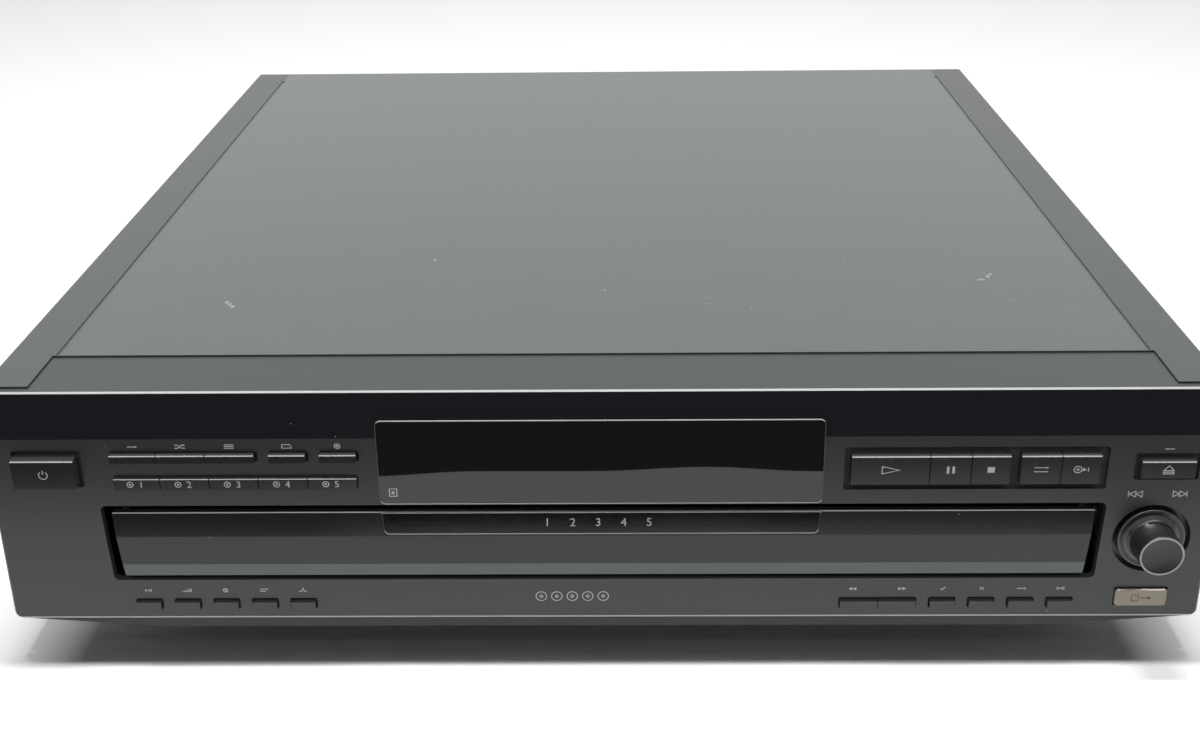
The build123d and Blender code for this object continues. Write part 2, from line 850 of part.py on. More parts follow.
def main_board():
    """The board on posts behind the drawer, with its larger parts."""
    y1 = rear_inner - main_board_gap
    y0 = y1 - main_board_depth
    z0 = chassis_top + main_board_lift
    z1 = z0 + main_board_wall
    board = block(main_board_left, main_board_right, y0, y1, z0, z1)
    middle = (y0 + y1) / 2
    group = [board]
    for start, width, depth, height in main_board_parts:
        x = main_board_left + start
        group.append(block(x, x + width, middle - depth / 2, middle + depth / 2,
                           z1, z1 + height))
    for n in range(capacitor_count):
        x = main_board_left + capacitor_start + capacitor_pitch * n
        group.append(upright(x, middle, z1, z1 + capacitor_height, capacitor_radius))
    return Compound(children=group)


def power_transformer():
    """The laminated transformer with its wound bobbin, at the left rear."""
    y1 = rear_inner - main_board_gap
    y0 = y1 - transformer_depth
    middle = (y0 + y1) / 2
    half = transformer_width / 2
    half_core = transformer_core / 2
    half_coil = transformer_coil_width / 2
    top = chassis_top + transformer_height
    core = block(transformer_x - half, transformer_x + half, middle - half_core,
                 middle + half_core, chassis_top, top)
    coil = block(transformer_x - half_coil, transformer_x + half_coil, y0, y1,
                 chassis_top + transformer_coil_edge, top - transformer_coil_edge)
    return core + coil


# ---------------------------------------------------------------- deck, drawer and table

def mechanism_deck():
    """The moulded deck: floor, two walls with rail ledges, gear slot and lift opening."""
    outer = deck_outer
    deck = block(-outer, outer, deck_front, deck_back, chassis_top, chassis_top + deck_floor)
    for side in (-1, 1):
        x0, x1 = sorted((side * deck_half_width, side * outer))
        deck += block(x0, x1, deck_front, deck_back, chassis_top, deck_wall_top)
        x0, x1 = sorted((side * deck_half_width, side * (deck_half_width - rail_ledge)))
        low = tongue_low - rail_gap
        deck += block(x0, x1, deck_front, deck_back, low - rail_wall, low)
        high = tongue_low + tongue_wall + rail_gap
        deck += block(x0, x1, deck_front, deck_back, high, high + rail_wall)
    reach = unit_half_depth + arm_gap + max(slider_arm, follower_reach) + slider_margin
    left, right = slider_span()
    lift_hole = block(left - slider_margin, right + slider_throw + slider_margin,
                      play_y - reach, play_y + reach,
                      chassis_top - 1, chassis_top + deck_floor + 1)
    tip = loading_radius + addendum * rack_module + gear_slot_gap
    x, y = loading_place
    gear_slot = block(deck_half_width - 0.1, outer + 1, y - tip, y + tip,
                      rack_low - 0.8, tongue_low - rail_gap - rail_wall - 0.1)
    half = loading_motor_side / 2 + loading_motor_clearance
    motor_hole = block(x - half, outer + 1, y - half, y + half, chassis_top - 1, rack_low)
    return deck - [lift_hole, gear_slot, motor_hole]


def unit_opening():
    """The hole in the drawer's floor that the optical unit rises through: two corners."""
    side = follower_reach + 2 * slider_margin
    end = 3 * slider_margin
    return (unit_left - end, unit_right + end,
            play_y - unit_half_depth - side, play_y + unit_half_depth + side)


def drawer_tray():
    """The drawer: walls, top deck round the table, hub post, side tongues and rack."""
    half = tray_half_width
    ring = table_radius + table_gap
    outer = block(-half, half, tray_front, tray_back, tray_low, tray_high)
    inner = block(-half + tray_wall, half - tray_wall, tray_front + tray_wall,
                  tray_back - tray_wall, floor_top, tray_high - tray_top_wall)
    well = upright(0, table_y, floor_top, tray_high + 1, ring)
    tray = outer - [inner, well]
    tray += upright(0, table_y, tray_low, hub_post_top, hub_post_radius)
    for side in (-1, 1):
        x0, x1 = sorted((side * (half - 0.5), side * tongue_edge))
        tray += block(x0, x1, tray_front + tongue_start, tray_back, tongue_low,
                      tongue_low + tongue_wall)
    tray += rack()
    x0, x1, y0, y1 = unit_opening()
    floor_hole = block(x0, x1, y0, y1, tray_low - 1, floor_top + 0.5)
    return tray - floor_hole


def rack():
    """The straight row of teeth on the drawer's right side."""
    pitch = pi * rack_module
    half_tooth = pitch / 4 - backlash / 2
    lean = tan(radians(pressure_angle))
    tip_x = rack_line + addendum * rack_module
    root_x = rack_line - dedendum * rack_module
    tip_half = half_tooth - addendum * rack_module * lean
    root_half = half_tooth + dedendum * rack_module * lean
    y_gear = loading_place[1]
    first = int((tray_front + rack_start - y_gear) / pitch)
    last = int((tray_back - rack_end - y_gear) / pitch)
    points = [(tray_half_width - 0.5, y_gear + (first - 0.1) * pitch)]
    points.append((root_x, y_gear + (first - 0.1) * pitch))
    for n in range(first, last):
        y = y_gear + (n + 0.5) * pitch
        points += [(root_x, y - root_half), (tip_x, y - tip_half),
                   (tip_x, y + tip_half), (root_x, y + root_half)]
    points.append((root_x, y_gear + (last + 0.1) * pitch))
    points.append((tray_half_width - 0.5, y_gear + (last + 0.1) * pitch))
    outline = make_face(Polyline(*points, close=True))
    return extrude(Plane.XY.offset(rack_low) * outline, rack_height)


def drawer_door():
    """The drawer's front: leaning upper band, upright middle, lower edge turned under."""
    front = face_y - door_proud
    back = tray_front
    low = door_low
    high = door_high
    section = Polyline(
        (back, low), (front + door_undercut, low), (front + door_turn_setback, low + door_turn),
        (front, high - door_band), (front + door_lean, high), (back, high), close=True,
    )
    door = slab_yz(make_face(section), -door_half_top, door_half_top)
    outline = trapezoid(door_half_bottom, door_half_top, low, high, door_corner)
    door = door & slab_xz(outline, front - 1, back + 1)
    top = high - inlay_edge
    half = window_half_width - inlay_edge
    inlay = trapezoid(half - inlay_draft, half, top - inlay_height, top, inlay_corner)
    band_low = high - door_band
    leaning = Polyline(
        (front - inlay_proud, band_low), (front + door_lean - inlay_proud, high),
        (front + door_lean + inlay_edge, high), (front + inlay_edge, band_low), close=True,
    )
    plate = slab_yz(make_face(leaning), -half, half)
    return door + (plate & slab_xz(inlay, front - 1, front + door_thickness))


def carousel():
    """The turning disc table: toothed rim below, five disc pockets above, open slots."""
    ring = gear_outline(table_teeth, table_module, 1)
    teeth = extrude(Plane.XY.offset(table_low) * ring, table_tooth_height)
    teeth = Pos(0, table_y, 0) * Rot(0, 0, pinion_direction) * teeth
    table = teeth + upright(0, table_y, rim_low, table_top, table_radius)
    table += upright(0, table_y, floor_top + hub_lift, table_low, hub_sleeve_radius)
    table += upright(0, table_y, table_top, table_top + table_cap_height, table_cap_radius)
    cuts = [upright(0, table_y, floor_top - 1, hub_post_top + hub_lift, hub_post_radius + hub_fit)]
    for n in range(disc_count):
        turn = Pos(0, table_y, 0) * Rot(0, 0, 360.0 * n / disc_count)
        y = disc_pitch_radius
        pocket_floor = table_top - pocket_depth
        inner_floor = pocket_floor - inner_pocket_depth
        cuts.append(turn * upright(0, y, pocket_floor, table_top + 1, pocket_radius))
        cuts.append(turn * upright(0, y, inner_floor, table_top, inner_pocket_radius))
        cuts.append(turn * upright(0, y, table_low - 1, table_top, spindle_hole))
        half_slot = lens_radius + lens_slot_gap
        slot_end = sled_rest + sled_travel + lens_radius + lens_end_gap
        cuts.append(turn * block(0, slot_end, y - half_slot, y + half_slot,
                                 table_low - 1, table_top))
    return table - cuts


def table_motor():
    """The geared motor in the drawer's front corner, with its output shaft."""
    corner_x = motor_can_offset * cos(pinion_angle)
    corner_y = motor_can_offset * sin(pinion_angle)
    can_x = pinion_x + corner_x
    can_y = pinion_y + corner_y
    plate = Pos(pinion_x + corner_x / 2, pinion_y + corner_y / 2, (floor_top + plate_top) / 2)
    plate = plate * Rot(0, 0, pinion_direction) * Box(motor_can_offset + motor_plate_end,
                                                      motor_plate_width, plate_top - floor_top)
    body = plate + upright(can_x, can_y, floor_top, tray_high - tray_top_wall, motor_can_radius)
    shaft_top = plate_top + pinion_lift + pinion_wall
    return body + upright(pinion_x, pinion_y, plate_top, shaft_top, motor_shaft_radius)


def table_pinion():
    """The small gear that drives the table's toothed rim."""
    low = plate_top + pinion_lift
    outline = gear_outline(pinion_teeth, table_module, 4)
    gear = extrude(Plane.XY.offset(low) * outline, pinion_wall)
    gear -= upright(0, 0, low - 1, low + pinion_wall + 1, motor_shaft_radius + motor_shaft_fit)
    turn = pinion_direction + 180.0 + 180.0 / pinion_teeth
    return Pos(pinion_x, pinion_y, 0) * Rot(0, 0, turn) * gear


def loading_motor():
    """The geared motor that drives the drawer, upright beside the deck."""
    x, y = loading_place
    half = loading_motor_side / 2
    top = rack_low - pinion_lift
    gearbox = block(x - half, x + half, y - half, y + half, chassis_top, top)
    return gearbox + upright(x, y, top, top + pinion_lift + loading_gear_wall, motor_shaft_radius)


def loading_gear():
    """The gear in mesh with the drawer's rack."""
    x, y = loading_place
    outline = gear_outline(loading_teeth, rack_module, 4)
    gear = extrude(Plane.XY.offset(rack_low) * outline, loading_gear_wall)
    gear -= upright(0, 0, rack_low - 1, rack_low + loading_gear_wall + 1,
                    motor_shaft_radius + motor_shaft_fit)
    return Pos(x, y, 0) * Rot(0, 0, 180.0) * gear


# ---------------------------------------------------------------- optical unit

def guide_places():
    """Where the two upright guide posts of the optical unit stand."""
    inset = guide_sleeve_radius + guide_sleeve_inset
    y = unit_half_depth - inset
    return [(unit_left + inset, play_y - y), (unit_left + inset, play_y + y)]


def lowered(solid):
    """Takes a piece of the optical unit from its playing height to its rest height."""
    return Pos(0, 0, -unit_lift) * solid


def optical_unit_frame():
    """The unit's plate with skirt, guide sleeves and four follower pins."""
    y0 = play_y - unit_half_depth
    y1 = play_y + unit_half_depth
    plate_low = unit_plate_low
    frame = block(unit_left, unit_right, y0, y1, raised_floor + floor_gap, unit_plate_top)
    wall = unit_skirt_wall
    frame -= block(unit_left + wall, unit_right - wall, y0 + wall, y1 - wall,
                   raised_floor - 1, plate_low)
    for x in (rod_left, rod_right):
        for side in (-1, 1):
            y = play_y + side * rod_spread
            frame += block(x - rod_radius, x + rod_radius, y - rod_boss, y + rod_boss,
                           rod_height - rod_boss, plate_low + 0.5)
    for x, y in guide_places():
        frame += upright(x, y, raised_floor, unit_plate_top, guide_sleeve_radius)
    for x in follower_places:
        frame += along_y(x, follower_height, y0 - follower_reach, y0 + wall, follower_radius)
        frame += along_y(x, follower_height, y1 - wall, y1 + follower_reach, follower_radius)
    half_window = sled_half_core + unit_window_gap
    cuts = [block(unit_window_left, unit_window_right, play_y - half_window,
                  play_y + half_window, plate_low - 1, unit_plate_top + 1)]
    cuts.append(upright(0, play_y, plate_low - 1, unit_plate_top + 1, spin_motor_radius))
    for x, y in guide_places():
        cuts.append(upright(x, y, raised_floor - 1, unit_plate_top + 1,
                            guide_post_radius + guide_post_fit))
    half_length = feed_motor_length / 2 + feed_motor_fit
    half_depth = feed_motor_radius + feed_motor_fit
    feed_y = play_y - unit_half_depth + feed_motor_side
    cuts.append(block(feed_motor_x - half_length, feed_motor_x + half_length,
                      feed_y - half_depth, feed_y + half_depth, plate_low - 1,
                      unit_plate_top + 1))
    for side in (-1, 1):
        cuts.append(along_x(play_y + side * rod_spread, rod_height, rod_left - rod_radius - 0.1,
                            rod_right + rod_radius + 0.1, rod_radius))
    return lowered(frame - cuts)


def unit_motors():
    """The spindle motor with its shaft, and the feed motor lying beside it."""
    top = disc_play_height - spin_plate_wall - spin_motor_gap
    spindle = upright(0, play_y, raised_floor, top, spin_motor_radius)
    spindle += upright(0, play_y, top, disc_play_height - spin_shaft_end, spin_shaft_radius)
    half = feed_motor_length / 2
    feed = along_x(play_y - unit_half_depth + feed_motor_side, raised_floor + feed_motor_radius,
                   feed_motor_x - half, feed_motor_x + half, feed_motor_radius)
    return Compound(children=[lowered(spindle), lowered(feed)])


def spindle_turntable():
    """The small turntable with its centring cone, on the spindle motor's shaft."""
    low = disc_play_height - spin_plate_wall
    plate = upright(0, play_y, low, disc_play_height, spin_plate_radius)
    cone_middle = disc_play_height + spin_cone_height / 2
    tip_radius = spin_cone_radius - spin_cone_taper
    plate += Pos(0, play_y, cone_middle) * Cone(spin_cone_radius, tip_radius, spin_cone_height)
    plate -= upright(0, play_y, low - 1, disc_play_height, spin_shaft_radius + spin_shaft_fit)
    return lowered(plate)


def pickup_sled():
    """The sled that carries the lens, bored for its two rods."""
    half = sled_width / 2
    high = table_low - sled_headroom
    reach = rod_spread + sled_bearing
    body = block(sled_rest - half, sled_rest + half, play_y - sled_half_core,
                 play_y + sled_half_core, raised_floor, high)
    body += block(sled_rest - half, sled_rest + half, play_y - reach, play_y + reach,
                  raised_floor, unit_plate_low - rail_gap)
    body += upright(sled_rest, play_y, high, lens_top, lens_radius)
    cuts = [along_x(play_y + side * rod_spread, rod_height, sled_rest - half - 1,
                    sled_rest + half + 1, rod_radius + rod_fit) for side in (-1, 1)]
    return lowered(body - cuts)


def guide_rods():
    """The two polished rods that the sled runs on."""
    group = [lowered(along_x(play_y + side * rod_spread, rod_height, rod_left - rod_radius,
                             rod_right + rod_radius, rod_radius)) for side in (-1, 1)]
    return Compound(children=group)


def slider_span():
    """How far the lift slider reaches in X at rest: its tie's left edge and its arms' right."""
    tie_right = unit_left - slider_throw - slider_margin
    return tie_right - slider_tie, follower_places[-1] + slider_tail


def lift_slider():
    """The sliding ramp plate under the optical unit: two arms, a tie and four ramps."""
    low = chassis_top + slider_lift
    top = low + slider_wall
    slope = unit_lift / slider_throw
    contact = (follower_radius + ramp_gap) * (1 + slope ** 2) ** 0.5
    rest = follower_height - unit_lift - contact
    left, right = slider_span()
    solid = block(left, left + slider_tie, play_y - unit_half_depth - arm_gap,
                  play_y + unit_half_depth + arm_gap, low, top)
    for side in (-1, 1):
        inner = play_y + side * (unit_half_depth + arm_gap)
        y0, y1 = sorted((inner, inner + side * slider_arm))
        solid += block(left, right, y0, y1, low, top)
        for x in follower_places:
            start = x + ramp_tail
            end = x - slider_throw - ramp_tail
            points = [(start, low), (start, rest - slope * ramp_tail),
                      (end, rest + slope * (slider_throw + ramp_tail)), (end, low)]
            solid += slab_xz(make_face(Polyline(*points, close=True)), y0, y1)
    return solid


# ---------------------------------------------------------------- clamp

def clamp_bridge():
    """The beam across the deck's walls that holds the clamp puck."""
    low = deck_wall_top
    y0 = play_y - bridge_half_depth
    y1 = play_y + bridge_half_depth
    beam = block(-deck_outer, deck_outer, y0, y1, low, low + bridge_wall)
    for y in (y0, y1 - bridge_wall):
        beam += block(-deck_outer, deck_outer, y, y + bridge_wall, low, low + bridge_lip)
    return beam - upright(0, play_y, low - 1, low + bridge_wall + 1, bridge_hole)


def clamp_puck():
    """The loose puck that presses a disc onto the turntable."""
    top = deck_wall_top + bridge_wall + puck_gap
    puck = upright(0, play_y, puck_low, top, puck_radius)
    puck += upright(0, play_y, top, top + puck_flange_wall, bridge_hole + puck_flange)
    return puck - upright(0, play_y, puck_low - 1, puck_low + puck_recess_depth,
                          spin_cone_radius + puck_recess_gap)


# ---------------------------------------------------------------- buttons and dial

def key_cap(x0, x1, z0, z1, proud, bevel, corner):
    """One push button: cap with a bevelled edge, flange behind the panel, stem to its switch."""
    flange_front = panel_back + key_flange_gap
    flange_back = flange_front + key_flange_wall
    stem_end = (board_front - switch_depth - switch_tip - key_travel - switch_clearance)
    if corner:
        outline = rounded([(x0, z0), (x1, z0), (x1, z1), (x0, z1)], corner)
        cap = soften(slab_xz(outline, face_y - proud, flange_back), Axis.Y, bevel)
    else:
        cap = block(x0, x1, face_y - proud, flange_back, z0, z1)
        front_edges = cap.edges().filter_by(Axis.X).group_by(Axis.Y)[0]
        cap = chamfer(front_edges.sort_by(Axis.Z)[-1], bevel)
    cap += block(x0, x1, flange_front, flange_back, z0 - key_flange_edge, z1 + key_flange_edge)
    x = (x0 + x1) / 2
    z = (z0 + z1) / 2
    half = key_stem / 2
    return cap + block(x - half, x + half, flange_back, stem_end, z - half, z + half)


def jog_plunger():
    """The encoder's shaft, which carries the dial and pushes in."""
    back = board_front - encoder_depth + shaft_tail
    front = face_y + dial_skirt_back - shaft_engagement
    return along_y(dial_x, dial_z, front, back, shaft_radius)


def jog_knob():
    """The turning dial: a wide skirt in the panel's well and a tall round grip."""
    z = dial_z
    skirt_back = face_y + dial_skirt_back
    grip_front = face_y - dial_reach
    skirt = along_y(dial_x, z, skirt_back - dial_skirt_wall, skirt_back, dial_skirt_radius)
    skirt = soften(skirt, Axis.Y, dial_round)
    grip = along_y(dial_x, z, grip_front, skirt_back, dial_radius)
    grip = soften(grip, Axis.Y, dial_round)
    depth = shaft_engagement + shaft_end_gap
    bore = along_y(dial_x, z, skirt_back - depth, skirt_back + 1, shaft_radius + shaft_fit)
    return (skirt + grip) - bore


# ---------------------------------------------------------------- writing

nodes = {
    "front_panel": front_panel,
    "display_window": display_window,
    "display_tube": display_tube,
    "top_cover": top_cover,
    "cover_screws": cover_screws,
    "base_chassis": base_chassis,
    "rear_panel": rear_panel,
    "output_jacks": output_jacks,
    "cord_gland": cord_gland,
    "feet": feet,
    "control_board": control_board,
    "main_board": main_board,
    "power_transformer": power_transformer,
    "mechanism_deck": mechanism_deck,
    "drawer_tray": drawer_tray,
    "drawer_door": drawer_door,
    "carousel": carousel,
    "table_motor": table_motor,
    "table_pinion": table_pinion,
    "loading_motor": loading_motor,
    "loading_gear": loading_gear,
    "optical_unit_frame": optical_unit_frame,
    "unit_motors": unit_motors,
    "spindle_turntable": spindle_turntable,
    "pickup_sled": pickup_sled,
    "guide_rods": guide_rods,
    "lift_slider": lift_slider,
    "clamp_bridge": clamp_bridge,
    "clamp_puck": clamp_puck,
    "jog_plunger": jog_plunger,
    "jog_knob": jog_knob,
}

os.makedirs("parts", exist_ok=True)
for node, make in nodes.items():
    export_step(make(), f"parts/{node}.step")
for name, x0, x1, z0, z1, proud, bevel in keys():
    corner = plate_corner if name == "changer_control_button" else 0.0
    export_step(key_cap(x0, x1, z0, z1, proud, bevel, corner), f"parts/{name}.step")
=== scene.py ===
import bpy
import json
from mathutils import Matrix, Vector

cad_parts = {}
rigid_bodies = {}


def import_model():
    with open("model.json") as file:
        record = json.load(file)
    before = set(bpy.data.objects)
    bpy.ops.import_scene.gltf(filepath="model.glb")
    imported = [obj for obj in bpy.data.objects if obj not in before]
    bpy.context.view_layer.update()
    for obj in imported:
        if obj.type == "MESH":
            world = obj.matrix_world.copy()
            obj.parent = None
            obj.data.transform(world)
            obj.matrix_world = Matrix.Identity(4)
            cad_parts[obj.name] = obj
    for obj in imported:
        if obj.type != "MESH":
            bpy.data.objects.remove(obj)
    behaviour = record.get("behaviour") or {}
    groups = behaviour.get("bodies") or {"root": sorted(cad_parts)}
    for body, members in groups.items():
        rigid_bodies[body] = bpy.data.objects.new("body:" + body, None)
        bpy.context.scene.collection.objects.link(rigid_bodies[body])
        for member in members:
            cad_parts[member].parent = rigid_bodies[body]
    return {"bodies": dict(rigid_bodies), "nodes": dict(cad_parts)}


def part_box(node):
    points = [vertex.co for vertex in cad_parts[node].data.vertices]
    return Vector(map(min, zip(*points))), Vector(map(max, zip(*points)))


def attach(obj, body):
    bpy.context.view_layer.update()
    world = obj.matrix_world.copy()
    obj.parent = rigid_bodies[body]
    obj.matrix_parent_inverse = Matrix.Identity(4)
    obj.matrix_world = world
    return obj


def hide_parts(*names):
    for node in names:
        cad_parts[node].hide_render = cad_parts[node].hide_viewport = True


bl_info = {
    "name": "Disc Changer Finishes",
    "version": (1, 0, 0),
    "blender": (4, 5, 0),
    "location": "3D View > Sidebar > Disc Changer",
    "description": "Finishes, printed marks and a plain stage for a five disc changer",
    "category": "Object",
}

import json
import math

import bpy
import numpy as np
from bpy.props import FloatProperty, FloatVectorProperty, PointerProperty
from mathutils import Matrix, Vector

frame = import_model()

MM = 0.001
FAR = 1.0  # past every side of the object, for the open end of a zone

# --- places read from the frame

PANEL_LOW, PANEL_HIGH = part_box("front_panel")
WINDOW_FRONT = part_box("display_window")[0].y
DOOR_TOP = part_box("drawer_door")[1].z
COVER_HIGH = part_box("top_cover")[1]
KNOB_LOW, KNOB_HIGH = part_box("jog_knob")
KNOB_X = (KNOB_LOW.x + KNOB_HIGH.x) / 2
BOARD_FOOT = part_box("main_board")[0].z
JACKS_LOW, JACKS_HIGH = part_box("output_jacks")

FACE_Y = PANEL_LOW.y
FACE_BASE = PANEL_LOW.z + 5.0 * MM
PANEL_FOOT = FACE_BASE - 1.1 * MM
SLOPE_Z = FACE_BASE + 74.0 * MM
SLOPE_BACK = FACE_Y + 2.6 * MM
RAIL_X = COVER_HIGH.x - 18.8 * MM
WINDOW_HALF = 77.65 * MM
WINDOW_FOOT = FACE_BASE + 47.8 * MM
WINDOW_TOP = FACE_BASE + 80.9 * MM
WINDOW_CORNER = 2.0 * MM
INLAY_LOW = FACE_BASE + 35.9 * MM
INLAY_HIGH = FACE_BASE + 44.1 * MM
INLAY_HALF_LOW = 76.55 * MM
INLAY_HALF_HIGH = 77.45 * MM
INLAY_CORNER = 1.6 * MM
INLAY_FRONT = FACE_Y - 1.3 * MM
INLAY_LEAN = 0.9 / 9.6  # how far the inlay's face goes back for each metre up
DOOR_BAND_LOW = FACE_BASE + 23.0 * MM
DOOR_BAND_HIGH = FACE_BASE + 34.8 * MM
OUTLINE_DEPTH = 0.3 * MM

CAMERA_PLACE = (8.83 * MM, -620.38 * MM, 338.87 * MM)
CAMERA_PITCH = 20.782
CAMERA_YAW = -0.88
CAMERA_ROLL = -0.683
PHOTO_SIZE = (1200, 732)
FOCAL_PIXELS = 1389.9
OPTICAL_CENTRE = (604, 200)

PALE_BUTTON = "changer_control_button"
DISC_BUTTONS = [f"disc_{number}_button" for number in range(1, 6)]
LOW_BUTTONS = [name for name in frame["bodies"]
               if name.endswith("_button") and name != PALE_BUTTON
               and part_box(name)[1].z < FACE_BASE + 12.0 * MM]


# --- what a user may change


class ChangerSizes(bpy.types.PropertyGroup):
    outline: FloatProperty(
        name="Outline width", description="Width of the silver line round window and inlay",
        default=0.3 * MM, min=0.1 * MM, max=2 * MM, unit="LENGTH", subtype="DISTANCE")
    stroke: FloatProperty(
        name="Print stroke", description="Width of the lines in the printed marks",
        default=0.34 * MM, min=0.1 * MM, max=1 * MM, unit="LENGTH", subtype="DISTANCE")
    ink: FloatProperty(
        name="Ink height", description="How far a printed mark stands off its surface",
        default=0.03 * MM, min=0.01 * MM, max=0.2 * MM, unit="LENGTH", subtype="DISTANCE")
    numeral: FloatProperty(
        name="Numeral height", description="Height of the numerals on the disc buttons",
        default=2.6 * MM, min=1 * MM, max=5 * MM, unit="LENGTH", subtype="DISTANCE")


class ChangerColours(bpy.types.PropertyGroup):
    panel: FloatVectorProperty(
        name="Panel", description="Moulded front panel", subtype="COLOR", size=3,
        default=(0.041, 0.051, 0.0475), min=0, max=1)
    band: FloatVectorProperty(
        name="Upper band", description="Darker glossy band along the panel's top", subtype="COLOR",
        size=3, default=(0.013, 0.015, 0.019), min=0, max=1)
    cover: FloatVectorProperty(
        name="Cover", description="Painted sheet cover", subtype="COLOR", size=3,
        default=(0.120, 0.139, 0.134), min=0, max=1)
    print_ink: FloatVectorProperty(
        name="Print", description="Pale ink of the marks", subtype="COLOR", size=3,
        default=(0.86, 0.88, 0.86), min=0, max=1)
    silver: FloatVectorProperty(
        name="Silver", description="Bright line round window and inlay", subtype="COLOR", size=3,
        default=(0.93, 0.93, 0.92), min=0, max=1)
    plate: FloatVectorProperty(
        name="Pale button", description="The one pale button", subtype="COLOR", size=3,
        default=(0.285, 0.255, 0.205), min=0, max=1)
    floor: FloatVectorProperty(
        name="Floor", description="Plain pale floor", subtype="COLOR", size=3,
        default=(0.96, 0.96, 0.955), min=0, max=1)


class ChangerStage(bpy.types.PropertyGroup):
    top_light: FloatProperty(
        name="Top lamp", description="Power of the narrow lamp overhead", default=20.0,
        min=0, unit="POWER")
    edge_light: FloatProperty(
        name="Edge lamp", description="Power of the long lamp in front and above", default=0.3,
        min=0, unit="POWER")
    ambient: FloatProperty(
        name="Ambient", description="Strength of the even light from all round", default=0.05,
        min=0, max=2)


# --- shader groups


def feed(tree, socket, value):
    """Link a socket to where its value comes from, or set the value on it."""
    if isinstance(value, bpy.types.NodeSocket):
        tree.links.new(value, socket)
    else:
        socket.default_value = value


def add(tree, kind, **values):
    """A shader node with its sockets fed by name."""
    node = tree.nodes.new("ShaderNode" + kind)
    for key, value in values.items():
        feed(tree, node.inputs[key.replace("_", " ")], value)
    return node


def maths(tree, operation, *values, clamp=False):
    """The result of one Math node."""
    node = tree.nodes.new("ShaderNodeMath")
    node.operation = operation
    node.use_clamp = clamp
    for socket, value in zip(node.inputs, values):
        feed(tree, socket, value)
    return node.outputs[0]


def mixed(tree, mask, colour, over):
    """A colour, as a socket or as three numbers, with another laid over it where the mask is."""
    node = tree.nodes.new("ShaderNodeMix")
    node.data_type = "RGBA"
    tree.links.new(mask, node.inputs[0])
    feed(tree, node.inputs[6], colour if isinstance(colour, bpy.types.NodeSocket)
         else (*colour, 1.0))
    node.inputs[7].default_value = (*over, 1.0)
    return node.outputs[2]


FLOAT = "NodeSocketFloat"
GROUP_BUILDERS = {}


def shader_group(name, inputs, outputs=("Mask",)):
    """Files a function that fills a shader group of this name, for effect to call once.

    The function gets the group's tree and its inputs, and gives the sockets of its outputs.
    """
    def file_builder(fill):
        def build():
            tree = bpy.data.node_groups.new(name, "ShaderNodeTree")
            for label, value in inputs:
                socket = tree.interface.new_socket(name=label, in_out="INPUT", socket_type=FLOAT)
                socket.default_value = value
            for label in outputs:
                tree.interface.new_socket(name=label, in_out="OUTPUT", socket_type=FLOAT)
            given = tree.nodes.new("NodeGroupInput").outputs
            result = tree.nodes.new("NodeGroupOutput").inputs
            for socket, place in zip(fill(tree, given), result):
                tree.links.new(socket, place)
        GROUP_BUILDERS[name] = build
        return fill
    return file_builder


def object_place(tree):
    """The point on the piece in its own coordinates, in metres."""
    return tree.nodes.new("ShaderNodeTexCoord").outputs["Object"]


def chosen_coordinate(tree, shares):
    """x * X share + y * Y share + z * Z share of the point on the piece."""
    parts = add(tree, "SeparateXYZ", Vector=object_place(tree))
    terms = [maths(tree, "MULTIPLY", parts.outputs[n], shares[n]) for n in range(3)]
    return maths(tree, "ADD", maths(tree, "ADD", terms[0], terms[1]), terms[2])


@shader_group("moulded_grain", [("Cells per metre", 1800.0),
               ("Patches per metre", 40.0)], ["Height", "Patches"])
def build_moulded_grain(tree, given):
    """Moulded grain: fine cells over a slower unevenness, as a height from 0 to 1."""
    place = object_place(tree)
    cells = add(tree, "TexVoronoi", Vector=place, Scale=given[0])
    dots = add(tree, "TexNoise", Vector=place, Scale=given[0], Detail=2.0)
    patches = add(tree, "TexNoise", Vector=place, Scale=given[1], Detail=4.0)
    height = maths(tree, "ADD", maths(tree, "MULTIPLY", cells.outputs["Distance"], 0.6),
                   maths(tree, "MULTIPLY", dots.outputs["Fac"], 0.5))
    return [height, patches.outputs["Fac"]]


@shader_group("dust_specks", [("Specks per metre", 55.0), ("Share", 0.2), ("Size", 0.035)])
def build_dust_specks(tree, given):
    """Dust: in a few cells of a Voronoi field, a small round speck about the cell's point."""
    cells = add(tree, "TexVoronoi", Vector=object_place(tree), Scale=given[0])
    parts = add(tree, "SeparateColor", Color=cells.outputs["Color"])
    size = maths(tree, "MULTIPLY", given[2], maths(tree, "ADD", parts.outputs[1], 0.4))
    inside = maths(tree, "LESS_THAN", cells.outputs["Distance"], size)
    chosen = maths(tree, "LESS_THAN", parts.outputs[0], given[1])
    return [maths(tree, "MULTIPLY", inside, chosen)]


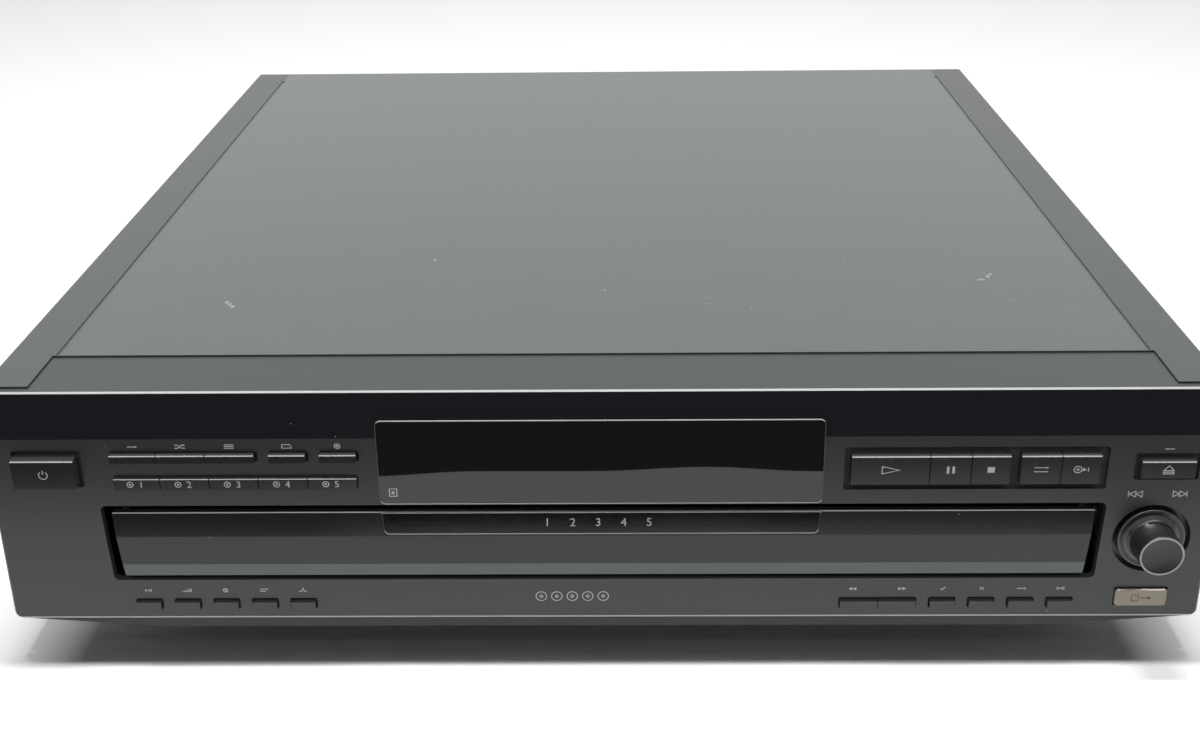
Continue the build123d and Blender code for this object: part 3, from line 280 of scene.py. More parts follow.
@shader_group("hair_scratches", [("Stretch", 8.0), ("Scale", 30.0), ("Share", 0.62)])
def build_hair_scratches(tree, given):
    """Hair scratches: the thin level lines of a noise that is stretched along one direction."""
    slant, half_width, patches_per_metre = 0.35, 0.0011, 9.0
    parts = add(tree, "SeparateXYZ", Vector=object_place(tree))
    aside = maths(tree, "MULTIPLY", parts.outputs["Y"], slant)
    across = maths(tree, "ADD", parts.outputs["X"], aside)
    along = maths(tree, "MULTIPLY", parts.outputs["Y"], given[0])
    place = add(tree, "CombineXYZ", X=across, Y=along, Z=parts.outputs["Z"])
    lines = add(tree, "TexNoise", Vector=place.outputs[0], Scale=given[1], Detail=1.0)
    near = maths(tree, "ABSOLUTE", maths(tree, "SUBTRACT", lines.outputs["Fac"], 0.5))
    thin = maths(tree, "LESS_THAN", near, half_width)
    where = add(tree, "TexNoise", Vector=object_place(tree), Scale=patches_per_metre,
                Detail=1.0)
    some = maths(tree, "GREATER_THAN", where.outputs["Fac"], given[2])
    return [maths(tree, "MULTIPLY", thin, some)]


@shader_group("zone", [("X share", 0.0), ("Y share", 0.0), ("Z share", 1.0), ("Low", 0.0),
               ("High", 1.0), ("Blur", 0.0001)])
def build_zone(tree, given):
    """Zone: 1 where the chosen coordinate lies between Low and High, with an edge of Blur."""
    where = chosen_coordinate(tree, given)
    above = maths(tree, "DIVIDE", maths(tree, "SUBTRACT", where, given[3]), given[5])
    below = maths(tree, "DIVIDE", maths(tree, "SUBTRACT", given[4], where), given[5])
    up = maths(tree, "ADD", above, 0.5, clamp=True)
    down = maths(tree, "ADD", below, 0.5, clamp=True)
    return [maths(tree, "MULTIPLY", up, down)]


@shader_group("brushed_lines", [("Lines per metre", 4000.0)], ["Height"])
def build_brushed_lines(tree, given):
    """Brushed metal: noise stretched a hundredfold along X, as a height from 0 to 1."""
    parts = add(tree, "SeparateXYZ", Vector=object_place(tree))
    short = maths(tree, "MULTIPLY", parts.outputs["X"], 0.01)
    place = add(tree, "CombineXYZ", X=short, Y=parts.outputs["Y"], Z=parts.outputs["Z"])
    lines = add(tree, "TexNoise", Vector=place.outputs[0], Scale=given[0], Detail=2.0)
    return [lines.outputs["Fac"]]


@shader_group("zinc_spangle", [("Cells per metre", 160.0)], ["Tone"])
def build_zinc_spangle(tree, given):
    """Zinc spangle: flat cells, each with its own tone."""
    cells = add(tree, "TexVoronoi", Vector=object_place(tree), Scale=given[0])
    parts = add(tree, "SeparateColor", Color=cells.outputs["Color"])
    return [parts.outputs[0]]


@shader_group("stripes", [("X share", 1.0), ("Y share", 0.0), ("Z share", 0.0),
               ("Per metre", 1000.0), ("Duty", 0.5)])
def build_stripes(tree, given):
    """Stripes: a square wave along X, Y or Z, for laminations and circuit tracks."""
    where = chosen_coordinate(tree, given)
    phase = maths(tree, "FRACT", maths(tree, "MULTIPLY", where, given[3]))
    return [maths(tree, "LESS_THAN", phase, given[4])]


def effect(tree, name, **values):
    """One shared group placed in a material with its own values; gives its output sockets."""
    if name not in bpy.data.node_groups:
        GROUP_BUILDERS[name]()
    node = tree.nodes.new("ShaderNodeGroup")
    node.node_tree = bpy.data.node_groups[name]
    for key, value in values.items():
        node.inputs[key.replace("_", " ")].default_value = value
    return node.outputs


# A mask maker is a function of a material's tree that gives the socket of a mask.


def pattern(name, **values):
    """The mask maker of a shared group's first output."""
    return lambda tree: effect(tree, name, **values)[0]


def zone(axis, low, high, blur=0.05 * MM):
    """The mask maker of the points whose coordinate on an axis lies between low and high."""
    shares = {f"{letter}_share": float(letter == axis) for letter in "XYZ"}
    return pattern("zone", Low=low, High=high, Blur=blur, **shares)


def both(first, second):
    """The mask maker of where two masks meet: their product."""
    return lambda tree: maths(tree, "MULTIPLY", first(tree), second(tree))


# --- materials

DUST_COLOUR = (0.33, 0.34, 0.33)
PATCH_TONES = (0.55, 1.5)  # a patch's darkest and palest, as shares of the base colour
PATCH_GLOSS = 0.6          # how much of a patch's tone its roughness takes
BUMP_DISTANCE = 0.05 * MM


def toned(colour, share):
    """A colour made darker or paler by a share, at most 1."""
    return tuple(min(1.0, part * share) for part in colour)


def new_material(name, **values):
    """A material and its Principled shader, whose sockets are set by name."""
    material = bpy.data.materials.new(name)
    material.use_nodes = True
    shader = material.node_tree.nodes["Principled BSDF"]
    for key, value in values.items():
        shader.inputs[key.replace("_", " ")].default_value = value
    return material, shader


def plain_finish(name, colour, roughness, grain=0.08, cells=1800.0, metallic=0.0, zones=(),
                 dust=0.0, scratches=0.0, patches=0.10, coat=0.0, ior=1.5, brushed=0.0,
                 speck_size=0.035, specks=55.0):
    """A finish: base colour with slow patches, zones of other tones, dust, scratches and grain.

    Each zone is (mask maker, colour, roughness); grain and brushed are bump strengths.
    """
    material, shader = new_material(name, Metallic=metallic, IOR=ior, Coat_Weight=coat,
                                    Coat_Roughness=0.1)
    tree = material.node_tree
    relief = effect(tree, "moulded_grain", Cells_per_metre=cells)
    shade = maths(tree, "MULTIPLY", maths(tree, "SUBTRACT", relief["Patches"], 0.5), patches)
    darker, paler = (toned(colour, share) for share in PATCH_TONES)
    tint = mixed(tree, maths(tree, "ADD", shade, 0.5, clamp=True), darker, paler)
    gloss = maths(tree, "ADD", maths(tree, "MULTIPLY", shade, PATCH_GLOSS), roughness, clamp=True)
    for make_mask, zone_colour, zone_roughness in zones:
        mask = make_mask(tree)
        tint = mixed(tree, mask, tint, zone_colour)
        change = maths(tree, "SUBTRACT", zone_roughness, gloss)
        gloss = maths(tree, "ADD", gloss, maths(tree, "MULTIPLY", change, mask))
    if dust:
        spots = effect(tree, "dust_specks", Specks_per_metre=specks, Share=dust, Size=speck_size)
        tint = mixed(tree, spots[0], tint, DUST_COLOUR)
    if scratches:
        lines = maths(tree, "MULTIPLY", effect(tree, "hair_scratches")[0], scratches)
        tint = mixed(tree, lines, tint, DUST_COLOUR)
    tree.links.new(tint, shader.inputs["Base Color"])
    tree.links.new(gloss, shader.inputs["Roughness"])
    height = effect(tree, "brushed_lines")[0] if brushed else relief["Height"]
    bump = add(tree, "Bump", Strength=brushed or grain, Distance=BUMP_DISTANCE,
               Height=height)
    tree.links.new(bump.outputs[0], shader.inputs["Normal"])
    return material


def paint(material, *nodes):
    """Give each CAD node's own material slots this finish."""
    for name in nodes:
        thing = frame["nodes"][name]
        if not thing.material_slots:
            thing.data.materials.append(material)
        for place in thing.material_slots:
            place.material = material


def paint_rows(rows):
    """Make the finish of each row (name, colour, roughness, settings, nodes) and give it."""
    for name, colour, roughness, settings, *nodes in rows:
        paint(plain_finish(name, colour, roughness, **settings), *nodes)


# --- surfaces worked out with numpy


def new_piece(name, vertices, faces, material, body, slot, smooth=False):
    """A mesh object at the origin, riding on a body and finished with the given material; its slot
    is not used.
    """
    mesh = bpy.data.meshes.new(name)
    mesh.from_pydata([tuple(v) for v in vertices], [], [tuple(f) for f in faces])
    mesh.validate()
    mesh.polygons.foreach_set("use_smooth", [smooth] * len(mesh.polygons))
    mesh.update()
    piece = bpy.data.objects.new(name, mesh)
    bpy.context.scene.collection.objects.link(piece)
    piece.data.materials.append(material)
    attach(piece, body)
    return piece


def ribbon(points, width, closed):
    """A rectangle carried along a path: at each point, left and right edges by the mitred normal.

    normal = (-t.z, t.x) of the mean direction t, stretched by 1 / cos(half the turn);
    edge = point + normal * width / 2 * (+1 or -1). Gives left and right rows, (n, 2) each.
    """
    path = np.asarray(points, float)
    steps = np.roll(path, -1, axis=0) - path
    ahead = steps / np.maximum(np.linalg.norm(steps, axis=1, keepdims=True), 1e-12)
    behind = np.roll(ahead, 1, axis=0)
    if not closed:
        ahead[-1] = ahead[-2]
        behind[0] = ahead[0]
    mean = ahead + behind
    mean /= np.maximum(np.linalg.norm(mean, axis=1, keepdims=True), 1e-12)
    normal = np.stack([-mean[:, 1], mean[:, 0]], axis=1)
    cosine = np.clip((mean * ahead).sum(axis=1), 0.35, 1.0)
    reach = normal * (width / 2 / cosine)[:, None]
    return path + reach, path - reach


def wall(count, closed):
    """Faces that join count rows of four corners into a bar, with capped ends if it is open."""
    index = np.arange(count * 4).reshape(count, 4)
    ahead = np.roll(index, -1, axis=0)
    last = count if closed else count - 1
    faces = []
    for side in range(4):
        after = (side + 1) % 4
        faces.append(np.stack([index[:last, side], index[:last, after], ahead[:last, after],
                               ahead[:last, side]], axis=1))
    faces = np.concatenate(faces).tolist()
    if not closed:
        faces += [index[0][::-1].tolist(), index[-1].tolist()]
    return faces


def bar_shape(points, width, closed, front, depth):
    """Ribbon with thickness: corners (left, right) x (front, back), y from front over depth."""
    left, right = ribbon(points, width, closed)
    count = len(left)
    corners = np.empty((count, 4, 3))
    back = front + depth
    for n, (edge, y) in enumerate(((left, front), (right, front), (right, back), (left, back))):
        corners[:, n, 0] = edge[:, 0]
        corners[:, n, 1] = y
        corners[:, n, 2] = edge[:, 1]
    return corners.reshape(-1, 3), wall(count, closed)


def filled_shape(points, front, depth):
    """A flat outline with thickness: its front face, its back face and the walls between.

    Its signed area, half the sum of x * next z - z * next x, tells which way round it runs.
    """
    outline = np.asarray(points, float)
    count = len(outline)
    x, z = outline.T
    if np.sum(x * np.roll(z, -1) - z * np.roll(x, -1)) < 0:
        outline = outline[::-1]
    rows = [np.stack([outline[:, 0], np.full(count, y), outline[:, 1]], axis=1)
            for y in (front, front + depth)]
    near = np.arange(count)
    ahead = np.roll(near, -1)
    faces = [near.tolist(), (near[::-1] + count).tolist()]
    faces += np.stack([ahead, near, near + count, ahead + count], axis=1).tolist()
    return np.concatenate(rows), faces


def joined(shapes):
    """Several (vertices, faces) as one, with the faces' numbers moved on."""
    vertices, faces, start = [], [], 0
    for points, some in shapes:
        vertices.append(points)
        faces += [[n + start for n in face] for face in some]
        start += len(points)
    return np.concatenate(vertices), faces


def arc(x, z, radius, first=0.0, last=360.0, steps=32):
    """Points on a circle about (x, z): x + r cos a, z + r sin a, a from first to last degrees."""
    full = abs(last - first) >= 360.0
    angle = np.radians(np.linspace(first, last, steps, endpoint=not full))
    return np.stack([x + radius * np.cos(angle), z + radius * np.sin(angle)], axis=1)


def rounded_outline(corners, radii, steps=8):
    """A closed outline whose corners are arcs: each is swept between its two tangent points."""
    points = []
    count = len(corners)
    for n in range(count):
        here = np.array(corners[n])
        before = np.array(corners[n - 1]) - here
        after = np.array(corners[(n + 1) % count]) - here
        before /= np.linalg.norm(before)
        after /= np.linalg.norm(after)
        radius = radii[n]
        half = math.acos(float(np.clip(before @ after, -1, 1))) / 2
        middle = (before + after) / np.linalg.norm(before + after)
        centre = here + middle * radius / math.sin(half)
        start = here + before * radius / math.tan(half) - centre
        turn = np.linspace(0, 1, steps)[:, None]
        end = here + after * radius / math.tan(half) - centre
        way = start * (1 - turn) + end * turn
        points.append(centre + way / np.linalg.norm(way, axis=1, keepdims=True) * radius)
    return np.concatenate(points)


def turned(profile, segments, centre_x, centre_z):
    """A surface of revolution about an axis along Y: x = cx + r cos a, y = y, z = cz + r sin a.

    profile is rows of (r, y) from the front's middle to the back's middle; both ends have r = 0.
    """
    rows = np.asarray(profile, float)
    inner = rows[1:-1]
    angle = np.linspace(0, 2 * math.pi, segments, endpoint=False)
    ring_x = centre_x + inner[:, :1] * np.cos(angle)
    ring_z = centre_z + inner[:, :1] * np.sin(angle)
    ring_y = np.repeat(inner[:, 1:], segments, axis=1)
    rings = np.stack([ring_x, ring_y, ring_z], axis=2).reshape(-1, 3)
    poles = np.array([[centre_x, rows[0, 1], centre_z], [centre_x, rows[-1, 1], centre_z]])
    count = len(inner)
    index = np.arange(count * segments).reshape(count, segments)
    ahead = np.roll(index, -1, axis=1)
    faces = np.stack([index[:-1], ahead[:-1], ahead[1:], index[1:]], axis=2)
    faces = faces.reshape(-1, 4).tolist()
    front, back = count * segments, count * segments + 1
    faces += [[front, int(b), int(a)] for a, b in zip(index[0], ahead[0])]
    faces += [[back, int(a), int(b)] for a, b in zip(index[-1], ahead[-1])]
    return np.concatenate([rings, poles]), faces


NUMERAL_SHARE = 0.7  # a numeral's height as a share of the font's size


def number_shape(text, height, x, z, front, depth):
    """A numeral as a mesh, its middle at (x, z), standing upright in the panel's plane."""
    curve = bpy.data.curves.new("numeral", "FONT")
    curve.body = text
    curve.size = height / NUMERAL_SHARE
    curve.extrude = depth / 2
    curve.align_x = "CENTER"
    curve.align_y = "CENTER"
    curve.resolution_u = 3
    holder = bpy.data.objects.new("numeral", curve)
    bpy.context.scene.collection.objects.link(holder)
    bpy.context.view_layer.update()
    mesh = bpy.data.meshes.new_from_object(holder)
    flat = np.zeros(len(mesh.vertices) * 3)
    mesh.vertices.foreach_get("co", flat)
    flat = flat.reshape(-1, 3)
    middle = (flat.min(axis=0) + flat.max(axis=0)) / 2
    place = np.stack([flat[:, 0] - middle[0] + x, front + depth / 2 - flat[:, 2],
                      flat[:, 1] - middle[1] + z], axis=1)
    faces = [list(face.vertices) for face in mesh.polygons]
    bpy.data.objects.remove(holder)
    bpy.data.curves.remove(curve)
    bpy.data.meshes.remove(mesh)
    return place, faces


# --- printed marks, in millimetres


def line(*points):
    """An open stroke through points (x, z)."""
    return "line", points


def loop(*points):
    """A closed stroke round points (x, z)."""
    return "loop", points


def solid(*points):
    """A filled outline through points (x, z)."""
    return "solid", points


def ring(x, z, radius, first=0.0, last=360.0):
    """A stroke round a circle about (x, z), or along its arc from first to last degrees."""
    kind = "loop" if last - first >= 360.0 else "line"
    return kind, tuple(map(tuple, arc(x, z, radius, first, last)))


def box_of(x, z, width, height):
    """The four corners of a rectangle about (x, z)."""
    half, rise = width / 2, height / 2
    return ((x - half, z - rise), (x + half, z - rise), (x + half, z + rise), (x - half, z + rise))


def arrow_head(x, z, way, size=0.9):
    """A small solid triangle that points left (-1) or right (+1)."""
    return solid((x - way * size / 2, z - size / 2), (x + way * size / 2, z),
                 (x - way * size / 2, z + size / 2))


def skip_marks(way, size):
    """Two outlined triangles and a bar, pointing left (-1) or right (+1)."""
    pair = [loop((way * (n - 0.9) * size, -0.5 * size), (way * (n + 0.1) * size, 0),
                 (way * (n - 0.9) * size, 0.5 * size)) for n in (0, 1)]
    return pair + [line((way * 1.2 * size, -0.5 * size), (way * 1.2 * size, 0.5 * size))]


KEY_MARKS = {
    "power_button": [ring(0, -0.2, 1.5, 125, 415), line((0, 0.2), (0, 1.7))],
    "play_button": [loop((-2.9, -1.45), (3.1, 0), (-2.9, 1.45))],
    "pause_button": [solid(*box_of(-0.95, 0, 0.9, 2.8)), solid(*box_of(0.95, 0, 0.9, 2.8))],
    "stop_button": [solid(*box_of(0, 0, 2.5, 2.3))],
    "exchange_button": [line((-2.4, 0.8), (2.0, 0.8)), arrow_head(2.2, 0.8, 1),
                        line((-2.0, -0.8), (2.4, -0.8)), arrow_head(-2.2, -0.8, -1)],
    "disc_skip_button": [ring(-1.2, 0, 1.3), ring(-1.2, 0, 0.35), arrow_head(1.2, 0, 1, 1.5),
                         line((2.4, -0.8), (2.4, 0.8))],
    "open_close_button": [loop((-1.8, -0.35), (1.8, -0.35), (0, 1.6)),
                          loop(*box_of(0, -1.3, 3.6, 0.7))],
}

# marks that stand on the panel over their buttons: rows of (height over FACE_BASE, marks)
LABEL_ROWS = [
    (71.0, {
        "continue_button": [line((-1.6, 0), (1.2, 0)), arrow_head(1.5, 0, 1)],
        "shuffle_button": [line((-1.8, -0.6), (-0.7, -0.6), (0.7, 0.6), (1.4, 0.6)),
                           line((-1.8, 0.6), (-0.7, 0.6), (0.7, -0.6), (1.4, -0.6)),
                           arrow_head(1.7, 0.6, 1, 0.7), arrow_head(1.7, -0.6, 1, 0.7)],
        "program_button": [line((-1.7, z), (1.7, z)) for z in (0.7, 0, -0.7)],
        "repeat_button": [line((1.0, 0.7), (-1.6, 0.7), (-1.6, -0.7), (1.6, -0.7), (1.6, 0.2)),
                          arrow_head(1.2, 0.7, 1, 0.8)],
        "disc_check_button": [ring(0, 0, 0.95), ring(0, 0, 0.3)],
    }),
    (68.6, {"open_close_button": [line((-1.6, 0), (1.6, 0))]}),
    (11.3, {
        "music_scan_button": [arrow_head(-0.6, 0, 1, 1.0), line((0.4, -0.5), (0.4, 0.5)),
                              line((1.1, -0.5), (1.1, 0.5))],
        "fader_button": [loop((-1.5, -0.5), (1.5, -0.5), (1.5, 0.6))],
        "time_button": [ring(0, 0, 0.75), line((0, 0.45), (0, 0), (0.35, 0))],
        "edit_button": [line((-1.5, 0.45), (1.5, 0.45)), line((-1.5, -0.45), (0.5, -0.45))],
        "peak_search_button": [line((-1.5, -0.5), (-0.4, -0.5), (0.1, 0.8), (0.6, -0.5),
                                    (1.5, -0.5))],
        "search_back_button": [arrow_head(-0.75, 0, -1, 1.4), arrow_head(0.75, 0, -1, 1.4)],
        "search_forward_button": [arrow_head(-0.75, 0, 1, 1.4), arrow_head(0.75, 0, 1, 1.4)],
        "check_button": [line((-0.8, 0), (-0.2, -0.6), (0.9, 0.7))],
        "clear_button": [line((-0.7, -0.6), (0.7, 0.6)), line((-0.7, 0.6), (0.7, -0.6))],
        "no_delay_button": [line((-1.5, 0), (1.5, 0)), line((1.5, -0.5), (1.5, 0.5))],
        "crossfade_button": [line((-1.5, 0.5), (1.5, -0.5)), line((-1.5, -0.5), (1.5, 0.5))],
    }),
]

# how far left or right of its button's middle such a mark stands
LABEL_ASIDE = {"search_back_button": -2.4, "search_forward_button": 1.8}

SENSOR_MARKS = [loop(*box_of(0, 0, 2.6, 3.0)), solid(*box_of(0, 0, 1.0, 1.3))]
PLATE_MARKS = [loop(*box_of(-2.2, 0, 2.4, 2.4)), line((-0.4, 0), (3.0, 0)),
               arrow_head(3.2, 0, 1, 1.6)]
DISC_MARKS = [ring(-2.3, 0, 1.05), ring(-2.3, 0, 0.25)]


def mark_shapes(marks, x, z, front, sizes):
    """The strokes and filled forms of one mark, placed at (x, z) on a surface at y = front."""
    y = front - sizes.ink
    depth = sizes.ink * 2
    shapes = []
    for kind, points in marks:
        place = np.array(points) * MM + (x, z)
        if kind == "solid":
            shapes.append(filled_shape(place, y, depth))
        else:
            shapes.append(bar_shape(place, sizes.stroke, kind == "loop", y, depth))
    return shapes


def key_place(name):
    """The middle of a button's face and the y of that face."""
    low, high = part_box(name)
    return (low.x + high.x) / 2, (low.z + high.z) / 2, low.y


def inlay_y(z):
    """The y of the inlay's leaning face at height z: its front + lean * (z - foot)."""
    return INLAY_FRONT + INLAY_LEAN * (z - DOOR_BAND_HIGH)


# --- settings that finishes share

MOULDED = {"grain": 0.3, "cells": 2600.0, "specks": 120.0, "speck_size": 0.022}
SHEET_PAINT = {"grain": 0.2, "cells": 1500.0, "dust": 0.10, "specks": 70.0, "speck_size": 0.03}
# painted shade: black for the sides of the drawer front and buttons that lie in shadow
PAINTED_SHADE_BLACK = (0.006, 0.006, 0.006)
# painted highlight: the pale line along the panel's top edge and its foot
PAINTED_EDGE_HIGHLIGHT = (0.75, 0.77, 0.75)
SCUFF_TONE = (0.42, 0.43, 0.42)

# worn spots on the cover: middle (x, y) and size, in millimetres
SCUFFS = [(-70.3, -86.9, 1.0, 1.3), (-146.8, -127.6, 1.3, 1.8), (-145.2, -129.6, 1.3, 1.8),
          (-143.6, -131.6, 1.3, 1.8), (151.5, -110.0, 3.0, 1.0), (155.0, -106.8, 1.1, 2.4),
          (156.6, -104.6, 1.0, 1.6)]

# the rows of dark buttons: name, how much of the bevel's depth shines in mm before painted shade
# covers the rest, buttons
KEY_ROWS = [
    ("power", 0.35, ["power_button"]),
    ("modes", 0.30, ["continue_button", "shuffle_button", "program_button", "repeat_button",
                     "disc_check_button"]),
    ("discs", 0.20, DISC_BUTTONS),
    ("transport", 0.36, ["play_button", "pause_button", "stop_button", "exchange_button",
                         "disc_skip_button"]),
    ("drawer", 0.30, ["open_close_button"]),
]

# finishes inside the cabinet without zones: name, colour, roughness, settings, nodes
MECHANISM_ROWS = [
    ("board_brown", (0.16, 0.085, 0.035), 0.45, {"grain": 0.02}, "control_board"),
    ("deck_plastic", (0.022, 0.022, 0.023), 0.5, {"grain": 0.4}, "mechanism_deck"),
    ("motor_steel", (0.5, 0.5, 0.49), 0.3, {"metallic": 1.0, "brushed": 0.25},
     "table_motor", "loading_motor", "unit_motors"),
    ("bridge_steel", (0.48, 0.49, 0.49), 0.34, {"metallic": 1.0, "brushed": 0.2}, "clamp_bridge"),
    ("puck_plastic", (0.02, 0.02, 0.022), 0.4, {"grain": 0.2}, "clamp_puck"),
    ("gear_plastic", (0.62, 0.60, 0.54), 0.4, {"grain": 0.1}, "table_pinion", "loading_gear"),
    ("unit_plastic", (0.03, 0.03, 0.032), 0.5, {"grain": 0.3},
     "optical_unit_frame", "pickup_sled", "lift_slider", "spindle_turntable"),
    ("rod_steel", (0.66, 0.66, 0.65), 0.16, {"metallic": 1.0, "brushed": 0.05}, "guide_rods"),
]


def scuff(x, y, width, length):
    """A small pale zone on the cover's top, as plain_finish takes it."""
    spot = both(zone("X", (x - width / 2) * MM, (x + width / 2) * MM, 0.6 * MM),
                zone("Y", (y - length / 2) * MM, (y + length / 2) * MM, 1.2 * MM))
    return spot, SCUFF_TONE, 0.4


# --- operators


class ChangerOperator(bpy.types.Operator):
    """What the steps share: the scene's sizes, colours and stage values."""
    bl_options = {"REGISTER"}

    def chosen(self, context):
        scene = context.scene
        return scene.changer_sizes, scene.changer_colours, scene.changer_stage


class CHANGER_OT_ink(ChangerOperator):
    """Mix the pale ink that the printed marks share."""
    bl_idname = "changer.ink"
    bl_label = "Ink"

    def execute(self, context):
        _, colours, _ = self.chosen(context)
        plain_finish("print_ink", tuple(colours.print_ink), 0.5, grain=0.05, patches=0.3)
        return {"FINISHED"}


class CHANGER_OT_cabinet(ChangerOperator):
    """Finish the front panel, the painted cover, the rear panel, the chassis and the feet."""
    bl_idname = "changer.cabinet"
    bl_label = "Cabinet finishes"

    def execute(self, context):
        _, colours, _ = self.chosen(context)
        panel, cover = tuple(colours.panel), tuple(colours.cover)
        painted_shade_middle, painted_shade_blur = FACE_BASE + 56.0 * MM, 34.0 * MM
        openings_front, openings_back = FACE_Y + 0.35 * MM, FACE_Y + 9.0 * MM
        top_edge, low_edge = PANEL_HIGH.z - 0.62 * MM, PANEL_FOOT + 1.1 * MM
        paint(plain_finish("panel_plastic", panel, 0.33, dust=0.35, **MOULDED, zones=[
            # painted reflection: the panel darkens towards its top, standing in for the white
            # floor's reflection that lightens its lower part
            (zone("Z", painted_shade_middle, FAR, painted_shade_blur), toned(panel, 0.22), 0.45),
            # painted shade: the walls of the openings behind the face are painted near black
            (zone("Y", openings_front, openings_back), (0.003, 0.003, 0.003), 0.8),
            (zone("Z", SLOPE_Z, PANEL_HIGH.z), colours.band, 0.12),
            # painted shade: the chin under the panel's foot is painted near black
            (zone("Z", 0.0, PANEL_FOOT - 0.05 * MM), (0.008, 0.009, 0.009), 0.45),
            (zone("Y", SLOPE_BACK, FAR), toned(panel, 1.15), 0.31),
            # painted highlight: pale lines on the panel's top front edge and along its foot
            (both(zone("Z", top_edge, FAR), zone("Y", -FAR, SLOPE_BACK)), PAINTED_EDGE_HIGHLIGHT, 0.2),
            (both(zone("Z", PANEL_FOOT, low_edge), zone("Y", -FAR, FACE_Y + 0.75 * MM)),
             PAINTED_EDGE_HIGHLIGHT, 0.3),
        ]), "front_panel")
        rails = [(zone("X", -FAR, -RAIL_X, 1.0 * MM), toned(cover, 0.66), 0.36),
                 (zone("X", RAIL_X, FAR, 1.0 * MM), toned(cover, 0.62), 0.36)]
        paint(plain_finish("cover_paint", cover, 0.27, scratches=0.6, patches=0.07, **SHEET_PAINT,
                           zones=rails + [scuff(*spot) for spot in SCUFFS]), "top_cover")
        spangle = (pattern("zinc_spangle"), (0.66, 0.67, 0.68), 0.3)
        paint_rows([
            ("rear_paint", cover, 0.33, SHEET_PAINT, "rear_panel"),
            ("zinc_sheet", (0.55, 0.56, 0.56), 0.38,
             {"metallic": 1.0, "brushed": 0.1, "zones": [spangle]}, "base_chassis"),
            ("foot_plastic", (0.018, 0.018, 0.018), 0.6, {"grain": 0.3}, "feet"),
            ("screw_black", (0.02, 0.02, 0.021), 0.3, {"metallic": 0.6, "grain": 0.05},
             "cover_screws"),
        ])
        return {"FINISHED"}


class CHANGER_OT_window(ChangerOperator):
    """Finish the display window and lay its silver outline and its sensor mark on it."""
    bl_idname = "changer.window"
    bl_label = "Display window"

    def execute(self, context):
        sizes, colours, _ = self.chosen(context)
        paint(plain_finish("window_gloss", (0.006, 0.007, 0.0075), 0.02, grain=0.0, patches=0.0,
                           dust=0.25, specks=130.0, speck_size=0.02, ior=1.58), "display_window")
        paint(plain_finish("tube_glass", (0.02, 0.05, 0.045), 0.1, coat=0.5, grain=0.0),
              "display_tube")
        # painted shade: the silver line is painted dim along its sides, so only its top and foot
        # stay bright
        painted_shade_sides = zone("Z", WINDOW_FOOT + 1.0 * MM, WINDOW_TOP - 0.6 * MM)
        silver = plain_finish("silver_line", tuple(colours.silver), 0.3, grain=0.0,
                              zones=[(painted_shade_sides, (0.09, 0.095, 0.09), 0.35)])
        corners = [(-WINDOW_HALF, WINDOW_FOOT), (WINDOW_HALF, WINDOW_FOOT),
                   (WINDOW_HALF, WINDOW_TOP), (-WINDOW_HALF, WINDOW_TOP)]
        path = rounded_outline(corners, [WINDOW_CORNER] * 4)
        shape = bar_shape(path, sizes.outline, True, WINDOW_FRONT - 0.12 * MM, OUTLINE_DEPTH)
        new_piece("window_outline", *shape, silver, "cabinet", "window_gloss")
        ink = bpy.data.materials["print_ink"]
        x, z = -72.9 * MM, FACE_BASE + 52.4 * MM
        new_piece("sensor_mark", *joined(mark_shapes(SENSOR_MARKS, x, z, WINDOW_FRONT, sizes)),
                  ink, "cabinet", "window_gloss")
        return {"FINISHED"}


class CHANGER_OT_drawer(ChangerOperator):
    """Finish the drawer front, its glossy inlay with a silver edge, the tray and the disc table."""
    bl_idname = "changer.drawer"
    bl_label = "Drawer"

    def execute(self, context):
        sizes, colours, _ = self.chosen(context)
        panel = tuple(colours.panel)
        top_edge = DOOR_TOP - 0.35 * MM
        half = (INLAY_HALF_HIGH + INLAY_HALF_LOW) / 2
        paint(plain_finish("door_plastic", toned(panel, 0.5), 0.37, dust=0.3, **MOULDED, zones=[
            (zone("Z", DOOR_BAND_HIGH, FAR), colours.band, 0.14),
            (both(zone("X", -half, half), zone("Z", INLAY_LOW, FAR)), (0.004, 0.004, 0.005), 0.06),
            # painted reflection: the strip under the band is painted paler, for the white floor it
            # reflects
            (zone("Z", 0.0, DOOR_BAND_LOW), toned(panel, 3.1), 0.38),
            # painted highlight: a pale line along the drawer front's top edge
            (both(zone("Z", top_edge, FAR), zone("Y", -FAR, FACE_Y + 0.4 * MM)),
             (0.85, 0.85, 0.84), 0.3),
            # painted shade: the drawer front's sides, in the gap, are painted black
            (zone("Y", FACE_Y + 1.2 * MM, FAR), PAINTED_SHADE_BLACK, 0.6),
        ]), "drawer_door")
        # painted shade: the inlay's silver line is painted dark along its sides, so only its top
        # and foot stay bright
        painted_shade_sides = zone("Z", INLAY_LOW + 1.2 * MM, INLAY_HIGH - 0.2 * MM, 0.5 * MM)
        silver = plain_finish("inlay_silver", tuple(colours.silver), 0.3, grain=0.0,
                              zones=[(painted_shade_sides, (0.03, 0.032, 0.035), 0.4)])
        corners = [(-INLAY_HALF_LOW, INLAY_LOW), (INLAY_HALF_LOW, INLAY_LOW),
                   (INLAY_HALF_HIGH, INLAY_HIGH), (-INLAY_HALF_HIGH, INLAY_HIGH)]
        path = rounded_outline(corners, [INLAY_CORNER, INLAY_CORNER, 0.3 * MM, 0.3 * MM])
        vertices, faces = bar_shape(path, sizes.outline, True, 0.0, OUTLINE_DEPTH)
        vertices[:, 1] += inlay_y(vertices[:, 2]) - 0.1 * MM
        new_piece("inlay_outline", vertices, faces, silver, "drawer", "door_plastic")
        paint_rows([
            ("tray_plastic", (0.018, 0.018, 0.019), 0.5, {"grain": 0.4}, "drawer_tray"),
            ("table_plastic", (0.024, 0.024, 0.026), 0.45, {"grain": 0.35}, "carousel"),
        ])
        return {"FINISHED"}


